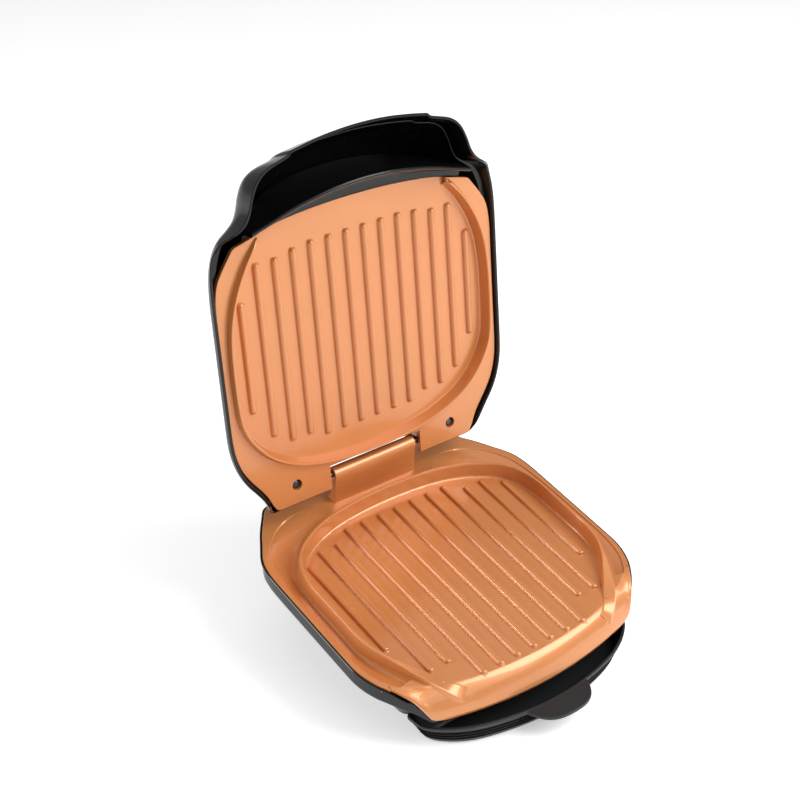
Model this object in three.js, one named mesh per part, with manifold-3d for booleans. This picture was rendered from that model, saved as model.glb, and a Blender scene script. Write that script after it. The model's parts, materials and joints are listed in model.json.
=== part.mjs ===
// Clamshell contact grill, standing open: a tilted lower plate in a black base, a lid plate in a
// domed lid with a hood for a handle, a floating hinge between them and a drip tray in front.
// Millimetres, +Z up, front towards -Y, origin on the table under the middle of the whole grill.
import * as THREE from 'three';
import { mergeVertices } from 'three/addons/utils/BufferGeometryUtils.js';
import Module from 'manifold-3d';

const wasm = await Module();
wasm.setup();

const degree = Math.PI / 180;

// Fits and cuts
const restGap = 0.3;
const overrun = 4;
const jointBite = 1;

// Pose of the grill
const deckTilt = 9.425 * degree;
const deckHeight = 50;
const lidLean = 74.22 * degree;
const plateGap = 7.5;
const floatTravel = 7.5;
const closedShift = 2.5;

// Lower plate, measured from the middle of its rib tops
const deckHalfWidth = 99.5;
const deckBack = 108;
const deckFront = 82;
const flangeLevel = -0.9;
const floorLevel = -2.5;
const flangeThickness = 1.6;
const flangeWidth = 4.2;
const deckUnderside = -5.5;
const troughFloor = -4;
const lipFall = 14.9;
const lipThickness = 2.4;

// Ribs of both plates
const lowerRibMargin = 24.5;
const lidRibMargin = 18.25;
const ribWidth = 5;
const ribBevel = 1.1;
const lowerRibReach = 68.7;
const lidRibReach = 64.2;

// Raised wall round the lower cooking area
const wallMargin = 11.7;
const wallHalfWidth = deckHalfWidth - wallMargin;
const wallBack = 79.4;
const wallFront = 70;
const wallRise = 7.1;
const wallTopWidth = 1.6;
const wallOuterFoot = 2.6;
const wallInnerFoot = 4.2;
const troughWidth = 5;
const troughOffset = 5.1;
const troughFlatShare = 1 / 3;
const wallSinkShare = 2;

// Hinge
const hingeBack = 95.3;
const hingeHeight = 18.7;
const pinRadius = 2;
const knuckleRadius = 4.4;
const tongueHalfWidth = 31;
const tongueThickness = 3.2;
const tongueLean = 1.4;
const notchHalfWidth = 34.5;
const lugThickness = 4.8;
const lugHalfHeight = 5;
const lugWall = 2.4;

// Lid plate, measured from the middle of its rib tops, towards the handle
const lidPlateMargin = 0.5;
const lidPlateHalfWidth = deckHalfWidth - lidPlateMargin;
const lidPlateBack = 100;
const lidPlateFront = 80.5;
const lidFlangeLevel = 1;
const lidUnderside = -5;
const lidFlangeThickness = 2.5;
const notchDepth = 16;
const ridgeMargin = 5.2;
const ridgeHalfWidth = lidPlateHalfWidth - ridgeMargin;
const ridgeBack = 81.5;
const ridgeFront = 70;
const ridgeRise = 5.2;
const ridgeTopWidth = 1.6;
const ridgeOuterFoot = 2.4;
const ridgeInnerFoot = 2.6;

// Base shell
const rimProud = 1.3;
const rimLevel = -1.6;
const rimFrontLevel = -18.8;
const rimFrontInset = 1.2;
const rimBead = 1;
const rimFrontBead = 0.4;
const wallInset = 0.5;
const sideWallHeight = 11.7;
const frontWallHeight = 2;
const shellThickness = 2.4;
const ledgeWidth = 3;
const ledgeFrontShare = 2;
const turnInShare = 2;
const turnDownShares = { side: 1.4, front: 0.3 };
const liningShares = { side: 0.7, front: 0.8 };
const ledgeFootShares = { side: 1, front: 0.5 };
const bottomHalfWidth = 76;
const bottomBack = 92;
const bottomFront = 43.5;
const bottomLevel = 8;
const bottomStepSide = 5.5;
const trayRoomLevel = 16.6;
const stepLean = 3;

// Base cover, pillars, feet and their screws
const coverThickness = 2.5;
const pillarRadius = 4.5;
const footRadius = 8;
const footFrontSpread = 58;
const footBackSpread = 50;
const footFrontSetback = 24;
const footBackSetback = 62;
const screwHeadRadius = 3.2;
const screwHeadHeight = 1.8;
const screwRadius = 1.6;
const screwLength = 11;
const footRecess = 3;

// Heaters and sheets
const heaterRadius = 3.2;
const heaterHalfWidth = 40;
const heaterHalfDepth = 46;
const heaterTailLength = 14;
const heaterTailSpread = 14;
const heaterBowShare = 1 / 3;
const reflectorHalfWidth = 46.5;
const reflectorHalfDepth = 54;
const reflectorThickness = 0.8;
const reflectorCorner = 16;

// Controls in the base
const thermostatRadius = 7.5;
const thermostatHeight = 9;
const thermostatPinRadius = 1.5;
const fuseRadius = 3;
const fuseLength = 20;
const fuseSetback = 20;
const fuseLeadShare = 1 / 3;
const blockLength = 36;
const blockWidth = 14;
const blockHeight = 10;
const blockPostRadius = 3.2;
const blockPostHeight = 3;
const blockSetback = 62;
const blockPostPitch = 11;

// Mains inlet gland in the back wall
const inletOffset = 45;
const inletLevel = -12.2;
const inletBore = 3.9;
const inletSleeve = 5;
const inletFlange = 7;
const inletFlangeThickness = 1.8;
const inletBossRadius = 8.2;
const inletBossProud = 1;
const inletBossDepth = 7.5;

// Lid shell
const lidShellMargin = 2.9;
const lidShellHalfWidth = lidPlateHalfWidth + lidShellMargin;
const lidShellBack = 102.8;
const lidShellFront = 126;
const lidRimLevel = 3.2;
const hoodRise = 9.8;
const lidDepth = 36.2;
const domeInset = 60;
const coreHalfWidth = 40;
const coreBack = 50;
const coreFront = 60;
const coreEdgeShare = 0.93;
const hingePocketWall = 1.8;
const hingePocketRoom = 1;

// Front baffle of the lid
const baffleMargin = 22;
const baffleHalfWidth = lidPlateHalfWidth - baffleMargin;
const baffleEdge = 81.6;
const baffleCrest = 93.4;
const baffleRise = 13.2;
const baffleLegDepth = 23.3;
const baffleThickness = 2.2;
const baffleCrestShares = { shoulder: 1 / 3, back: 1 / 4, root: 2 };

// Lid screws, posts and pilot light
const lidScrewSpread = 59;
const lidScrewBack = 87.5;
const lidScrewRecess = 1.2;
const lidPostRadius = 4;
const lidPostLength = 16;
const lensRadius = 4;
const lensProud = 1.4;
const lensFlange = 5.2;
const lensFlangeThickness = 1;
const lensForward = 58;
const lampRadius = 2.5;
const lampLength = 9;
const lampTipShare = 0.6;

// Drip tray
const trayHalfWidth = 79.5;
const trayFront = 89.5;
const trayBack = 47;
const trayHeight = 15;
const trayLift = 0.3;
const trayWall = 1.8;
const trayFloor = 2.1;
const trayTaper = 7.5;
const trayStep = 0.5;
const tabHalfWidth = 23;
const tabReach = 12.5;
const tabThickness = 2.5;
const tabShares = { shoulder: 0.8, draw: 0.3, tip: 0.6 };

// Counts of sides, and of steps round a bend
const turnedSides = 24;
const barSides = 20;
const postSides = 16;
const holeSides = 12;
const contactSides = 8;
const tabSteps = 8;
const cornerSteps = 6;
const tubeSteps = 5;
const ribEndSteps = 4;
const heaterSteps = 40;

// Least share of a full step that a sharp corner leaves to an outline that grows
const leastStepShare = 0.7;

// Outline of the lower plate: width share, depth share (towards the back, or below 0 to the front),
// how far the plate's edge has fallen towards the front lip, how far the rim of the shell has fallen
// with it, and how far that rim has gone in under the lip.
const deckOutlineShares = [
  [0, 1, 0, 0, 0], [0.714, 1, 0, 0, 0], [0.774, 0.926, 0, 0, 0], [0.844, 0.843, 0, 0, 0],
  [0.905, 0.75, 0, 0, 0], [0.975, 0.648, 0, 0, 0], [0.995, 0.556, 0, 0, 0], [1, 0.463, 0, 0, 0],
  [1, -0.366, 0, 0, 0], [0.965, -0.512, 0, 0, 0], [0.915, -0.615, 0, 0.03, 0],
  [0.869, -0.693, 0.074, 0.2, 0], [0.827, -0.761, 0.21, 0.32, 0.5], [0.786, -0.824, 0.59, 0.66, 0.85],
  [0.744, -0.873, 1, 1, 1], [0.503, -0.943, 1, 1, 1], [0.251, -0.985, 1, 1, 1], [0, -1, 1, 1, 1],
];

// Outline of the shell's foot, point by point under the outline of the plate.
const bottomShares = [
  [0, 1], [0.6, 1], [0.68, 0.95], [0.74, 0.88], [0.79, 0.78], [0.83, 0.66], [0.85, 0.556],
  [0.87, 0.463], [0.97, -0.5], [1, -0.72], [1, -0.86], [0.98, -0.95], [0.94, -0.99], [0.87, -1],
  [0.8, -1], [0.5, -1], [0.25, -1], [0, -1],
];

// Where the flat deck breaks into the lip, for the last outline points and in their order.
const lipBreakShares = [
  [0.905, -0.58], [0.846, -0.628], [0.794, -0.665], [0.754, -0.695],
  [0.704, -0.72], [0.482, -0.799], [0.241, -0.841], [0, -0.854],
];
const lipProfileShares = { reach: 0.45, fall: 0.2, innerReach: 0.3 };
const lipSwellShare = 0.25;

// Crest of the wall round the lower plate: width share, depth share, height share, foot share.
const wallShares = [
  [0, 1, 1, 1], [0.285, 0.985, 1, 1], [0.513, 0.945, 1, 1], [0.706, 0.869, 1, 1],
  [0.866, 0.762, 1, 1], [0.957, 0.63, 1, 1], [1, 0.453, 1, 1], [1, -0.2, 1, 1],
  [0.974, -0.371, 0.93, 1], [0.915, -0.529, 0.75, 1], [0.849, -0.65, 0.45, 1],
  [0.78, -0.757, 0.12, 1], [0.715, -0.857, -0.15, 1.5], [0.615, -1, -0.68, 2.4],
];
const troughLastPoint = 11;

// Crest of the ridge round the lid plate: width share, depth share, height share.
const ridgeShares = [
  [0, -1, 1], [0.267, -0.988, 1], [0.48, -0.945, 1], [0.661, -0.871, 1], [0.81, -0.761, 1],
  [0.917, -0.613, 1], [0.981, -0.466, 1], [1, -0.294, 1], [1, 0.143, 1], [0.975, 0.429, 1],
  [0.917, 0.657, 1], [0.832, 0.857, 0.9], [0.746, 1, 0.6],
];

// Outline of the lid plate: width share and depth share, from the hinge side to the handle side.
const lidPlateShares = [
  [0, -1], [0.748, -1], [0.778, -0.95], [0.808, -0.88], [0.848, -0.82], [0.909, -0.74],
  [0.96, -0.65], [0.99, -0.55], [1, -0.45], [1, 0.497], [0.98, 0.646], [0.929, 0.745],
  [0.874, 0.832], [0.848, 0.876], [0.606, 0.95], [0.404, 0.979], [0.202, 0.996], [0, 1],
];

// Outline of the lid shell's rim: width share, depth share, share of the hood's rise, how much of
// the point belongs to the side of the hood and to its front, and how far its wall is pinched in.
const lidShellShares = [
  [0, -1, -0.63, 0, 0, 0], [0.756, -1, -0.63, 0, 0, 0], [0.785, -0.934, -0.15, 0, 0, 0],
  [0.815, -0.871, 0, 0, 0, 0], [0.859, -0.807, 0, 0, 0, 0], [0.918, -0.73, 0, 0, 0, 0],
  [0.962, -0.642, 0, 0, 0, 0], [0.991, -0.535, 0, 0, 0, 0], [1, -0.438, 0, 0, 0, 0],
  [1, 0.357, 0, 0, 0, 0.01], [0.994, 0.476, 0, 0, 0, 0.04], [0.97, 0.563, 0.03, 0, 0, 0.08],
  [0.93, 0.621, 0.4, 0.3, 0, 0.08], [0.868, 0.651, 0.9, 0.8, 0, 0.05], [0.805, 0.683, 1, 1, 0, 0.02],
  [0.765, 0.73, 1, 1, 0, 0], [0.741, 0.794, 1, 1, 0, 0], [0.697, 0.865, 1, 0.85, 0.15, 0],
  [0.628, 0.909, 1, 0.6, 0.4, 0], [0.491, 0.94, 1, 0.35, 0.65, 0], [0.451, 0.96, 1, 0.2, 0.8, 0],
  [0.343, 0.976, 1, 0.1, 0.9, 0], [0.177, 0.994, 1, 0, 1, 0], [0, 1, 1, 0, 1, 0],
];

// Rings of the lid shell below its rim. Depth is a share of the lid's depth under the side rim, and
// the three insets are shares of the dome's inset at the sides, the hood's sides and its front.
const lidOuterShares = [
  { depth: 0.13, insets: [0.003, 0.037, 0.09] },
  { depth: 0.31, insets: [0.077, 0.077, 0.145] },
  { depth: 0.475, insets: [0.15, 0.167, 0.2] },
  { depth: 0.696, insets: [0.267, 0.292, 0.29] },
  { depth: 0.89, insets: [0.567, 0.5, 0.55] },
  { depth: 1, insets: [1, 0.933, 1] },
];
const lidInnerShares = [
  { depth: 0.934, insets: [1.017, 0.95, 1.017] },
  { depth: 0.829, insets: [0.6, 0.533, 0.583] },
  { depth: 0.635, insets: [0.305, 0.33, 0.325] },
  { depth: 0.431, insets: [0.192, 0.208, 0.24] },
  { depth: 0.315, insets: [0.12, 0.12, 0.19] },
  { depth: 0.199, insets: [0.1, 0.09, 0.155] },
  { depth: 0.138, insets: [0.098, 0.08, 0.135] },
  { depth: 0.1365, insets: [0.043, 0.075, 0.13] },
];

// How deep the sunk rim and the pinch reach, and the width of the rim's edge
const sunkRimShare = 0.4;
const pinchShare = 0.31;
const lidRimShare = 0.032;

// Stations of the baffle: width share, edge share, crest share, leg share.
const baffleShares = [
  [0, 1, 1, 1], [0.31, 0.991, 0.985, 0.99], [0.62, 0.965, 0.94, 0.92],
  [0.82, 0.933, 0.893, 0.45], [0.93, 0.908, 0.868, 0.15], [1, 0.892, 0.852, 0.1],
];

// Plan of the drip tray: width share, depth share towards the front and share of the taper.
const trayShares = [
  [0, 1, 0.55], [0.3, 0.974, 0.55], [0.6, 0.912, 0.55], [0.78, 0.84, 0.6], [0.92, 0.75, 0.75],
  [0.985, 0.68, 0.9], [1, 0.62, 1],
];

// Heights of the fine steps down the outside of the tray, as shares of its depth.
const trayStepShares = [0.1, 0.3, 0.5, 0.7];

// Ends of the ribs, from the middle rib outwards, as shares of the longest rib's reach.
const lowerRibFrontShares = [1, 1, 1, 1, 0.751, 0.751, 0.377];
const lowerRibBackShares = [1, 1, 1, 1, 0.881, 0.881, 0.767];
const lidRibFrontShares = [0.96, 0.96, 0.96, 0.938, 0.9, 0.9, 0.583];
const lidRibBackShares = [1, 1, 1, 0.931, 0.931, 0.818, 0.517];

// Sizes that follow from the ones above
const hingeInLidBack = closedShift - hingeBack;
const hingeInLidLevel = plateGap + floatTravel - hingeHeight;
const pinHalfLength = notchHalfWidth + lugThickness;
const holeRadius = pinRadius + restGap;
const screwHoleRadius = screwRadius + restGap;
const inletFace = deckBack + rimProud + inletBossProud;

const materials = {
  gloss: new THREE.MeshStandardMaterial({ color: 0x17181a, roughness: 0.22, metalness: 0 }),
  satin: new THREE.MeshStandardMaterial({ color: 0x242527, roughness: 0.5, metalness: 0 }),
  copper: new THREE.MeshStandardMaterial({ color: 0xcf8250, roughness: 0.38, metalness: 0.45 }),
  rubber: new THREE.MeshStandardMaterial({ color: 0x1b1b1b, roughness: 0.85, metalness: 0 }),
  steel: new THREE.MeshStandardMaterial({ color: 0x9a9c9f, roughness: 0.35, metalness: 0.9 }),
  sheet: new THREE.MeshStandardMaterial({ color: 0xb9bcc0, roughness: 0.45, metalness: 0.85 }),
  ceramic: new THREE.MeshStandardMaterial({ color: 0xe4ded2, roughness: 0.6, metalness: 0 }),
  lens: new THREE.MeshStandardMaterial({ color: 0xd9541e, roughness: 0.2, metalness: 0 }),
};

// A closed solid from a geometry
function solid(geometry) {
  const bare = geometry.index ? geometry.toNonIndexed() : geometry.clone();
  bare.deleteAttribute('normal');
  bare.deleteAttribute('uv');
  const merged = mergeVertices(bare);
  return new wasm.Manifold(new wasm.Mesh({
    numProp: 3,
    vertProperties: merged.attributes.position.array,
    triVerts: new Uint32Array(merged.index.array),
  }));
}

// The mesh of a solid
function geometryOf(body) {
  const mesh = body.getMesh();
  const geometry = new THREE.BufferGeometry();
  geometry.setAttribute('position', new THREE.BufferAttribute(mesh.vertProperties, 3));
  geometry.setIndex(new THREE.BufferAttribute(mesh.triVerts, 1));
  return geometry;
}

// Solids joined with the first, or cut from it
const joined = (first, ...others) => others.reduce((body, other) => body.add(other), first);
const cut = (first, ...others) => others.reduce((body, other) => body.subtract(other), first);

// Area of a flat ring seen along one axis, with its sign
function signedArea(points) {
  return THREE.ShapeUtils.area(points);
}

// Triangles that close a flat ring, in the ring's own direction
function capOf(ring) {
  const normal = new THREE.Vector3();
  ring.forEach((point, i) => {
    const next = ring[(i + 1) % ring.length];
    normal.x += (point.y - next.y) * (point.z + next.z);
    normal.y += (point.z - next.z) * (point.x + next.x);
    normal.z += (point.x - next.x) * (point.y + next.y);
  });
  const size = [Math.abs(normal.x), Math.abs(normal.y), Math.abs(normal.z)];
  const drop = size.indexOf(Math.max(...size));
  const flat = ring.map((p) => {
    if (drop === 0) return new THREE.Vector2(p.y, p.z);
    return drop === 1 ? new THREE.Vector2(p.z, p.x) : new THREE.Vector2(p.x, p.y);
  });
  const faces = THREE.ShapeUtils.triangulateShape(flat, []);
  const turn = Math.sign(signedArea(flat));
  return faces.map(([a, b, c]) => {
    const same = Math.sign(signedArea([flat[a], flat[b], flat[c]])) === turn;
    return same ? [a, b, c] : [a, c, b];
  });
}

// A body through a row of rings with the same number of points. The ends are capped, or the last
// ring joins the first where the row closes on itself.
function lofted(rings, closes = false) {
  const count = rings[0].length;
  const points = rings.flat();
  const faces = [];
  const last = closes ? rings.length : rings.length - 1;
  for (let k = 0; k < last; k += 1) {
    const here = k * count;
    const there = ((k + 1) % rings.length) * count;
    for (let i = 0; i < count; i += 1) {
      const j = (i + 1) % count;
      faces.push([here + i, here + j, there + j], [here + i, there + j, there + i]);
    }
  }
  if (!closes) {
    const end = (rings.length - 1) * count;
    capOf(rings[0]).forEach(([a, b, c]) => faces.push([a, c, b]));
    capOf(rings[rings.length - 1]).forEach(([a, b, c]) => faces.push([end + a, end + b, end + c]));
  }
  const volume = faces.reduce((sum, [a, b, c]) => (
    sum + points[a].dot(new THREE.Vector3().crossVectors(points[b], points[c]))), 0);
  const index = faces.flatMap(([a, b, c]) => (volume < 0 ? [a, c, b] : [a, b, c]));
  const geometry = new THREE.BufferGeometry().setFromPoints(points);
  geometry.setIndex(index);
  return solid(geometry);
}

// An outline raised from one level to another
function raised(outline, bottom, top) {
  const shape = new THREE.Shape(outline.map((p) => new THREE.Vector2(p.x, p.y)));
  const geometry = new THREE.ExtrudeGeometry(shape, { depth: top - bottom, bevelEnabled: false });
  return solid(geometry.translate(0, 0, bottom));
}

// An outline in the depth and height plane, carried across the width
function across(outline, from, to) {
  const shape = new THREE.Shape(outline.map(([depth, height]) => new THREE.Vector2(depth, height)));
  const geometry = new THREE.ExtrudeGeometry(shape, { depth: to - from, bevelEnabled: false });
  const turn = new THREE.Matrix4().makeBasis(
    new THREE.Vector3(0, 1, 0), new THREE.Vector3(0, 0, 1), new THREE.Vector3(1, 0, 0));
  return solid(geometry.translate(0, 0, from).applyMatrix4(turn));
}

// A box between two opposite corners
function block(low, high) {
  const size = high.map((value, i) => value - low[i]);
  const geometry = new THREE.BoxGeometry(...size);
  geometry.translate(...high.map((value, i) => (value + low[i]) / 2));
  return solid(geometry);
}

// A round bar between two levels
function upright(radius, x, y, bottom, top, sides = barSides) {
  const geometry = new THREE.CylinderGeometry(radius, radius, top - bottom, sides);
  geometry.rotateX(Math.PI / 2);
  return solid(geometry.translate(x, y, (top + bottom) / 2));
}

// A round bar along the width
function crossbar(radius, y, z, halfLength, sides = barSides) {
  const geometry = new THREE.CylinderGeometry(radius, radius, 2 * halfLength, sides);
  geometry.rotateZ(Math.PI / 2);
  return solid(geometry.translate(0, y, z));
}

// A turned piece from its radius and height points, standing on the z axis
function turned(profile, sides = turnedSides) {
  const points = profile.map(([radius, height]) => new THREE.Vector2(radius, height));
  const geometry = new THREE.LatheGeometry(points, sides);
  geometry.rotateX(Math.PI / 2);
  const body = solid(geometry);
  return body.volume() < 0 ? solid(flipped(geometry)) : body;
}

// A geometry with its faces turned over
function flipped(geometry) {
  const turnedOver = geometry.clone();
  const index = [...turnedOver.index.array];
  for (let i = 0; i < index.length; i += 3) {
    [index[i + 1], index[i + 2]] = [index[i + 2], index[i + 1]];
  }
  turnedOver.setIndex(index);
  return turnedOver;
}

// A round tube along a smooth open path
function tube(points, radius, steps) {
  const shape = new THREE.Shape();
  shape.absarc(0, 0, radius, 0, 2 * Math.PI, false);
  const path = new THREE.CatmullRomCurve3(points, false, 'centripetal');
  const geometry = new THREE.ExtrudeGeometry(
    shape, { steps, bevelEnabled: false, curveSegments: tubeSteps, extrudePath: path });
  return solid(geometry);
}

// The other half of a half outline that starts and ends on the middle line
function mirrored(half) {
  const other = half.filter((p) => p.x > 0).reverse().map((p) => {
    const copy = p.clone();
    copy.x = -p.x;
    return copy;
  });
  return [...half, ...other];
}

// Points moved square to the outline, outwards where the distance is over 0
function grown(outline, distances) {
  const turn = Math.sign(signedArea(outline));
  return outline.map((point, i) => {
    const before = outline[(i + outline.length - 1) % outline.length];
    const after = outline[(i + 1) % outline.length];
    const into = new THREE.Vector2(point.x - before.x, point.y - before.y).normalize();
    const out = new THREE.Vector2(after.x - point.x, after.y - point.y).normalize();
    const normal = new THREE.Vector2(into.y + out.y, -into.x - out.x).normalize();
    const stretch = 1 / Math.max(normal.x * into.y - normal.y * into.x, leastStepShare);
    const distance = Array.isArray(distances) ? distances[i] : distances;
    return new THREE.Vector2(point.x, point.y).addScaledVector(normal, distance * turn * stretch);
  });
}

// A value part of the way between two, and a flat point set at a level
const mix = (a, b, share) => a + (b - a) * share;
const at = (p, level) => new THREE.Vector3(p.x, p.y, level);

// A ribbon along a path: each station gives the points of its cross-section from its place, its
// outward direction and its own shares.
function ribbon(path, sectionAt) {
  return lofted(path.map((point, i) => {
    const before = path[Math.max(i - 1, 0)];
    const after = path[Math.min(i + 1, path.length - 1)];
    const along = new THREE.Vector2(after.x - before.x, after.y - before.y).normalize();
    const outward = new THREE.Vector2(-along.y, along.x);
    return sectionAt(point, i).map(([offset, level]) => new THREE.Vector3(
      point.x + outward.x * offset, point.y + outward.y * offset, level));
  }));
}

// A path over both halves, from the left end to the right end
function wholePath(shares, halfWidth, back, front) {
  const right = shares.map(([width, depth, ...rest]) => ({
    x: width * halfWidth, y: depth * (depth > 0 ? back : front), rest }));
  const left = right.filter((p) => p.x > 0).reverse().map((p) => ({ ...p, x: -p.x }));
  return [...left, ...right];
}

// Straight ribs with round ends, side by side
function ribs(count, margin, reach, frontShares, backShares, frontSign, floor) {
  const bars = [];
  const pitch = 2 * (deckHalfWidth - margin) / (count - 1);
  for (let i = 0; i < count; i += 1) {
    const side = i - (count - 1) / 2;
    const place = Math.floor(Math.abs(side));
    const radius = ribWidth / 2 - ribBevel;
    const front = frontShares[place] * reach - ribWidth / 2;
    const back = backShares[place] * reach - ribWidth / 2;
    const low = frontSign < 0 ? -front : -back;
    const high = frontSign < 0 ? back : front;
    const shape = new THREE.Shape();
    shape.absarc(side * pitch, high, radius, 0, Math.PI, false);
    shape.absarc(side * pitch, low, radius, Math.PI, 2 * Math.PI, false);
    const foot = floor - jointBite;
    const geometry = new THREE.ExtrudeGeometry(shape, {
      depth: -foot - 2 * ribBevel, bevelThickness: ribBevel, bevelSize: ribBevel,
      bevelSegments: 1, curveSegments: ribEndSteps });
    bars.push(solid(geometry.translate(0, 0, foot + ribBevel)));
  }
  return bars;
}

// A place on the tilted deck in the table's frame
function onTable(x, y, z) {
  return new THREE.Vector3(
    x,
    y * Math.cos(deckTilt) - z * Math.sin(deckTilt),
    y * Math.sin(deckTilt) + z * Math.cos(deckTilt) + deckHeight);
}

// Level of a deck plane above the table, at a place of the table
function deckLevelAt(y, z) {
  return deckHeight + y * Math.tan(deckTilt) + z / Math.cos(deckTilt);
}

// One column of a half table, carried over to the other half
function mirroredShares(table, column) {
  const right = table.map((row) => row[column]);
  const left = table.filter((row) => row[0] > 0).map((row) => row[column]).reverse();
  return [...right, ...left];
}

// A closed basin outline, open at its front from the ends of its two sides
function basinOutline(shares, halfWidth, back, front, mouthDepth) {
  const side = shares.map(([width, depth]) => new THREE.Vector2(
    width * halfWidth, depth * (depth > 0 ? back : front)));
  const end = side[side.length - 1];
  return mirrored([...side, new THREE.Vector2(end.x, mouthDepth), new THREE.Vector2(0, mouthDepth)]);
}

// Outlines of the lower plate, of its break into the lip and of the shell's foot
const deckPoint = ([width, depth]) => new THREE.Vector2(
  width * deckHalfWidth, depth * (depth > 0 ? deckBack : deckFront));
const deckHalf = deckOutlineShares.map(deckPoint);
const deckOutline = mirrored(deckHalf);
const lipBreaks = lipBreakShares.map(deckPoint);
const lipStart = deckHalf.length - lipBreaks.length;
const bottomOutline = mirrored(bottomShares.map(([width, depth]) => new THREE.Vector2(
  width * bottomHalfWidth, depth * (depth > 0 ? bottomBack : bottomFront))));
const rimFalls = mirroredShares(deckOutlineShares, 3);
const rimTucks = mirroredShares(deckOutlineShares, 4);

// The flat part of the lower plate, thin where it lies on the ledge of the shell
function lowerSlab() {
  const edge = mirrored([...deckHalf.slice(0, lipStart), ...lipBreaks]);
  const onLip = lipBreaks.slice(1).map((point) => point.y);
  const insets = edge.map((point) => (onLip.includes(point.y) ? 0 : -flangeWidth));
  return joined(
    raised(edge, flangeLevel - flangeThickness, flangeLevel),
    raised(grown(edge, insets), deckUnderside, flangeLevel - flangeThickness + jointBite));
}

// The lip that curves down to the front, from its break to its edge
function frontLip() {
  const stations = lipBreaks.map((inner, i) => {
    const outer = deckHalf[lipStart + i];
    const fallShare = deckOutlineShares[lipStart + i][2];
    const fall = fallShare * lipFall;
    const swell = Math.min(fallShare / lipSwellShare, 1);
    const thickness = mix(flangeThickness, lipThickness, swell);
    const start = fall < lipFall ? flangeLevel : floorLevel;
    const top = Math.min(flangeLevel - fall, start);
    const reach = (share) => new THREE.Vector2(
      mix(inner.x, outer.x, share), mix(inner.y, outer.y, share));
    const biteShare = -jointBite / inner.distanceTo(outer);
    const bend = reach(lipProfileShares.reach);
    const bendLevel = mix(start, top, lipProfileShares.fall);
    const heel = reach(lipProfileShares.innerReach);
    return [
      at(reach(biteShare), start), at(bend, bendLevel), at(outer, top),
      at(outer, top - thickness), at(heel, bendLevel - thickness - swell * jointBite),
      at(reach(biteShare), mix(flangeLevel - flangeThickness, deckUnderside + restGap, swell)),
    ];
  });
  const others = stations.slice(0, -1).reverse().map((ring) => (
    ring.map((p) => new THREE.Vector3(-p.x, p.y, p.z))));
  return lofted([...stations, ...others]);
}

// The raised wall round the lower cooking area, which ends in two ramps on the lip
function lowerWall() {
  return ribbon(wholePath(wallShares, wallHalfWidth, wallBack, wallFront), (point) => {
    const [height, foot] = point.rest;
    const low = deckUnderside + jointBite - (foot - 1) * lipThickness * wallSinkShare;
    return [
      [wallOuterFoot, low], [wallTopWidth / 2, height * wallRise],
      [-wallTopWidth / 2, height * wallRise], [-wallInnerFoot, low],
    ];
  });
}

// Room of the gutter that runs outside the wall
function gutterRoom() {
  const path = wholePath(wallShares.slice(0, troughLastPoint), wallHalfWidth, wallBack, wallFront);
  const flat = troughWidth * troughFlatShare;
  return ribbon(path, () => [
    [troughOffset - troughWidth / 2, overrun], [troughOffset - flat, troughFloor],
    [troughOffset + flat, troughFloor], [troughOffset + troughWidth / 2, overrun],
  ]);
}

// The upright tongue behind the lower plate
function hingeTongue() {
  const face = hingeBack - knuckleRadius;
  const back = face + tongueThickness;
  const low = deckUnderside + jointBite;
  return across([
    [face - tongueLean, low], [face, hingeHeight], [back, hingeHeight], [back + tongueLean, low],
  ], -tongueHalfWidth, tongueHalfWidth);
}

// Lower plate: slab, lip, wall, ribs and the hinge's tongue and knuckle in one casting
function lowerGrillPlate() {
  const basin = basinOutline(wallShares, wallHalfWidth, wallBack, wallFront, -deckFront - overrun);
  const recess = raised(basin, floorLevel, overrun);
  const knuckle = crossbar(knuckleRadius, hingeBack, hingeHeight, tongueHalfWidth);
  const bore = crossbar(holeRadius, hingeBack, hingeHeight, tongueHalfWidth + overrun);
  const bars = ribs(2 * lowerRibFrontShares.length - 1, lowerRibMargin, lowerRibReach,
    lowerRibFrontShares, lowerRibBackShares, -1, floorLevel);
  const cast = cut(joined(lowerSlab(), frontLip()), recess, gutterRoom());
  return cut(joined(cast, lowerWall(), hingeTongue(), knuckle, ...bars), bore);
}

// A box beside the middle, on one side of the grill, given by its two distances from the middle
function sideBlock(side, near, far, low, high) {
  const edges = [side * near, side * far];
  return block([Math.min(...edges), ...low], [Math.max(...edges), ...high]);
}

// The ridge round the lid plate's cooking area
function lidRidge() {
  const path = wholePath(ridgeShares, ridgeHalfWidth, ridgeFront, ridgeBack);
  return ribbon(path, ({ rest: [height] }) => [
    [-ridgeOuterFoot, lidFlangeLevel - jointBite], [-ridgeTopWidth / 2, height * ridgeRise],
    [ridgeTopWidth / 2, height * ridgeRise], [ridgeInnerFoot, lidUnderside + jointBite],
    [-ridgeTopWidth / 2, lidUnderside + jointBite],
  ]);
}

// Stepped holes for the screws that hold the lid plate
function lidScrewHoles() {
  const seat = lidFlangeLevel - lidScrewRecess - screwHeadHeight;
  const clear = lidFlangeLevel + overrun;
  return [-1, 1].flatMap((side) => {
    const x = side * lidScrewSpread;
    return [
      upright(screwHeadRadius + restGap, x, -lidScrewBack, seat, clear),
      upright(screwHoleRadius, x, -lidScrewBack, lidUnderside - overrun, clear, holeSides),
    ];
  });
}

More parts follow.
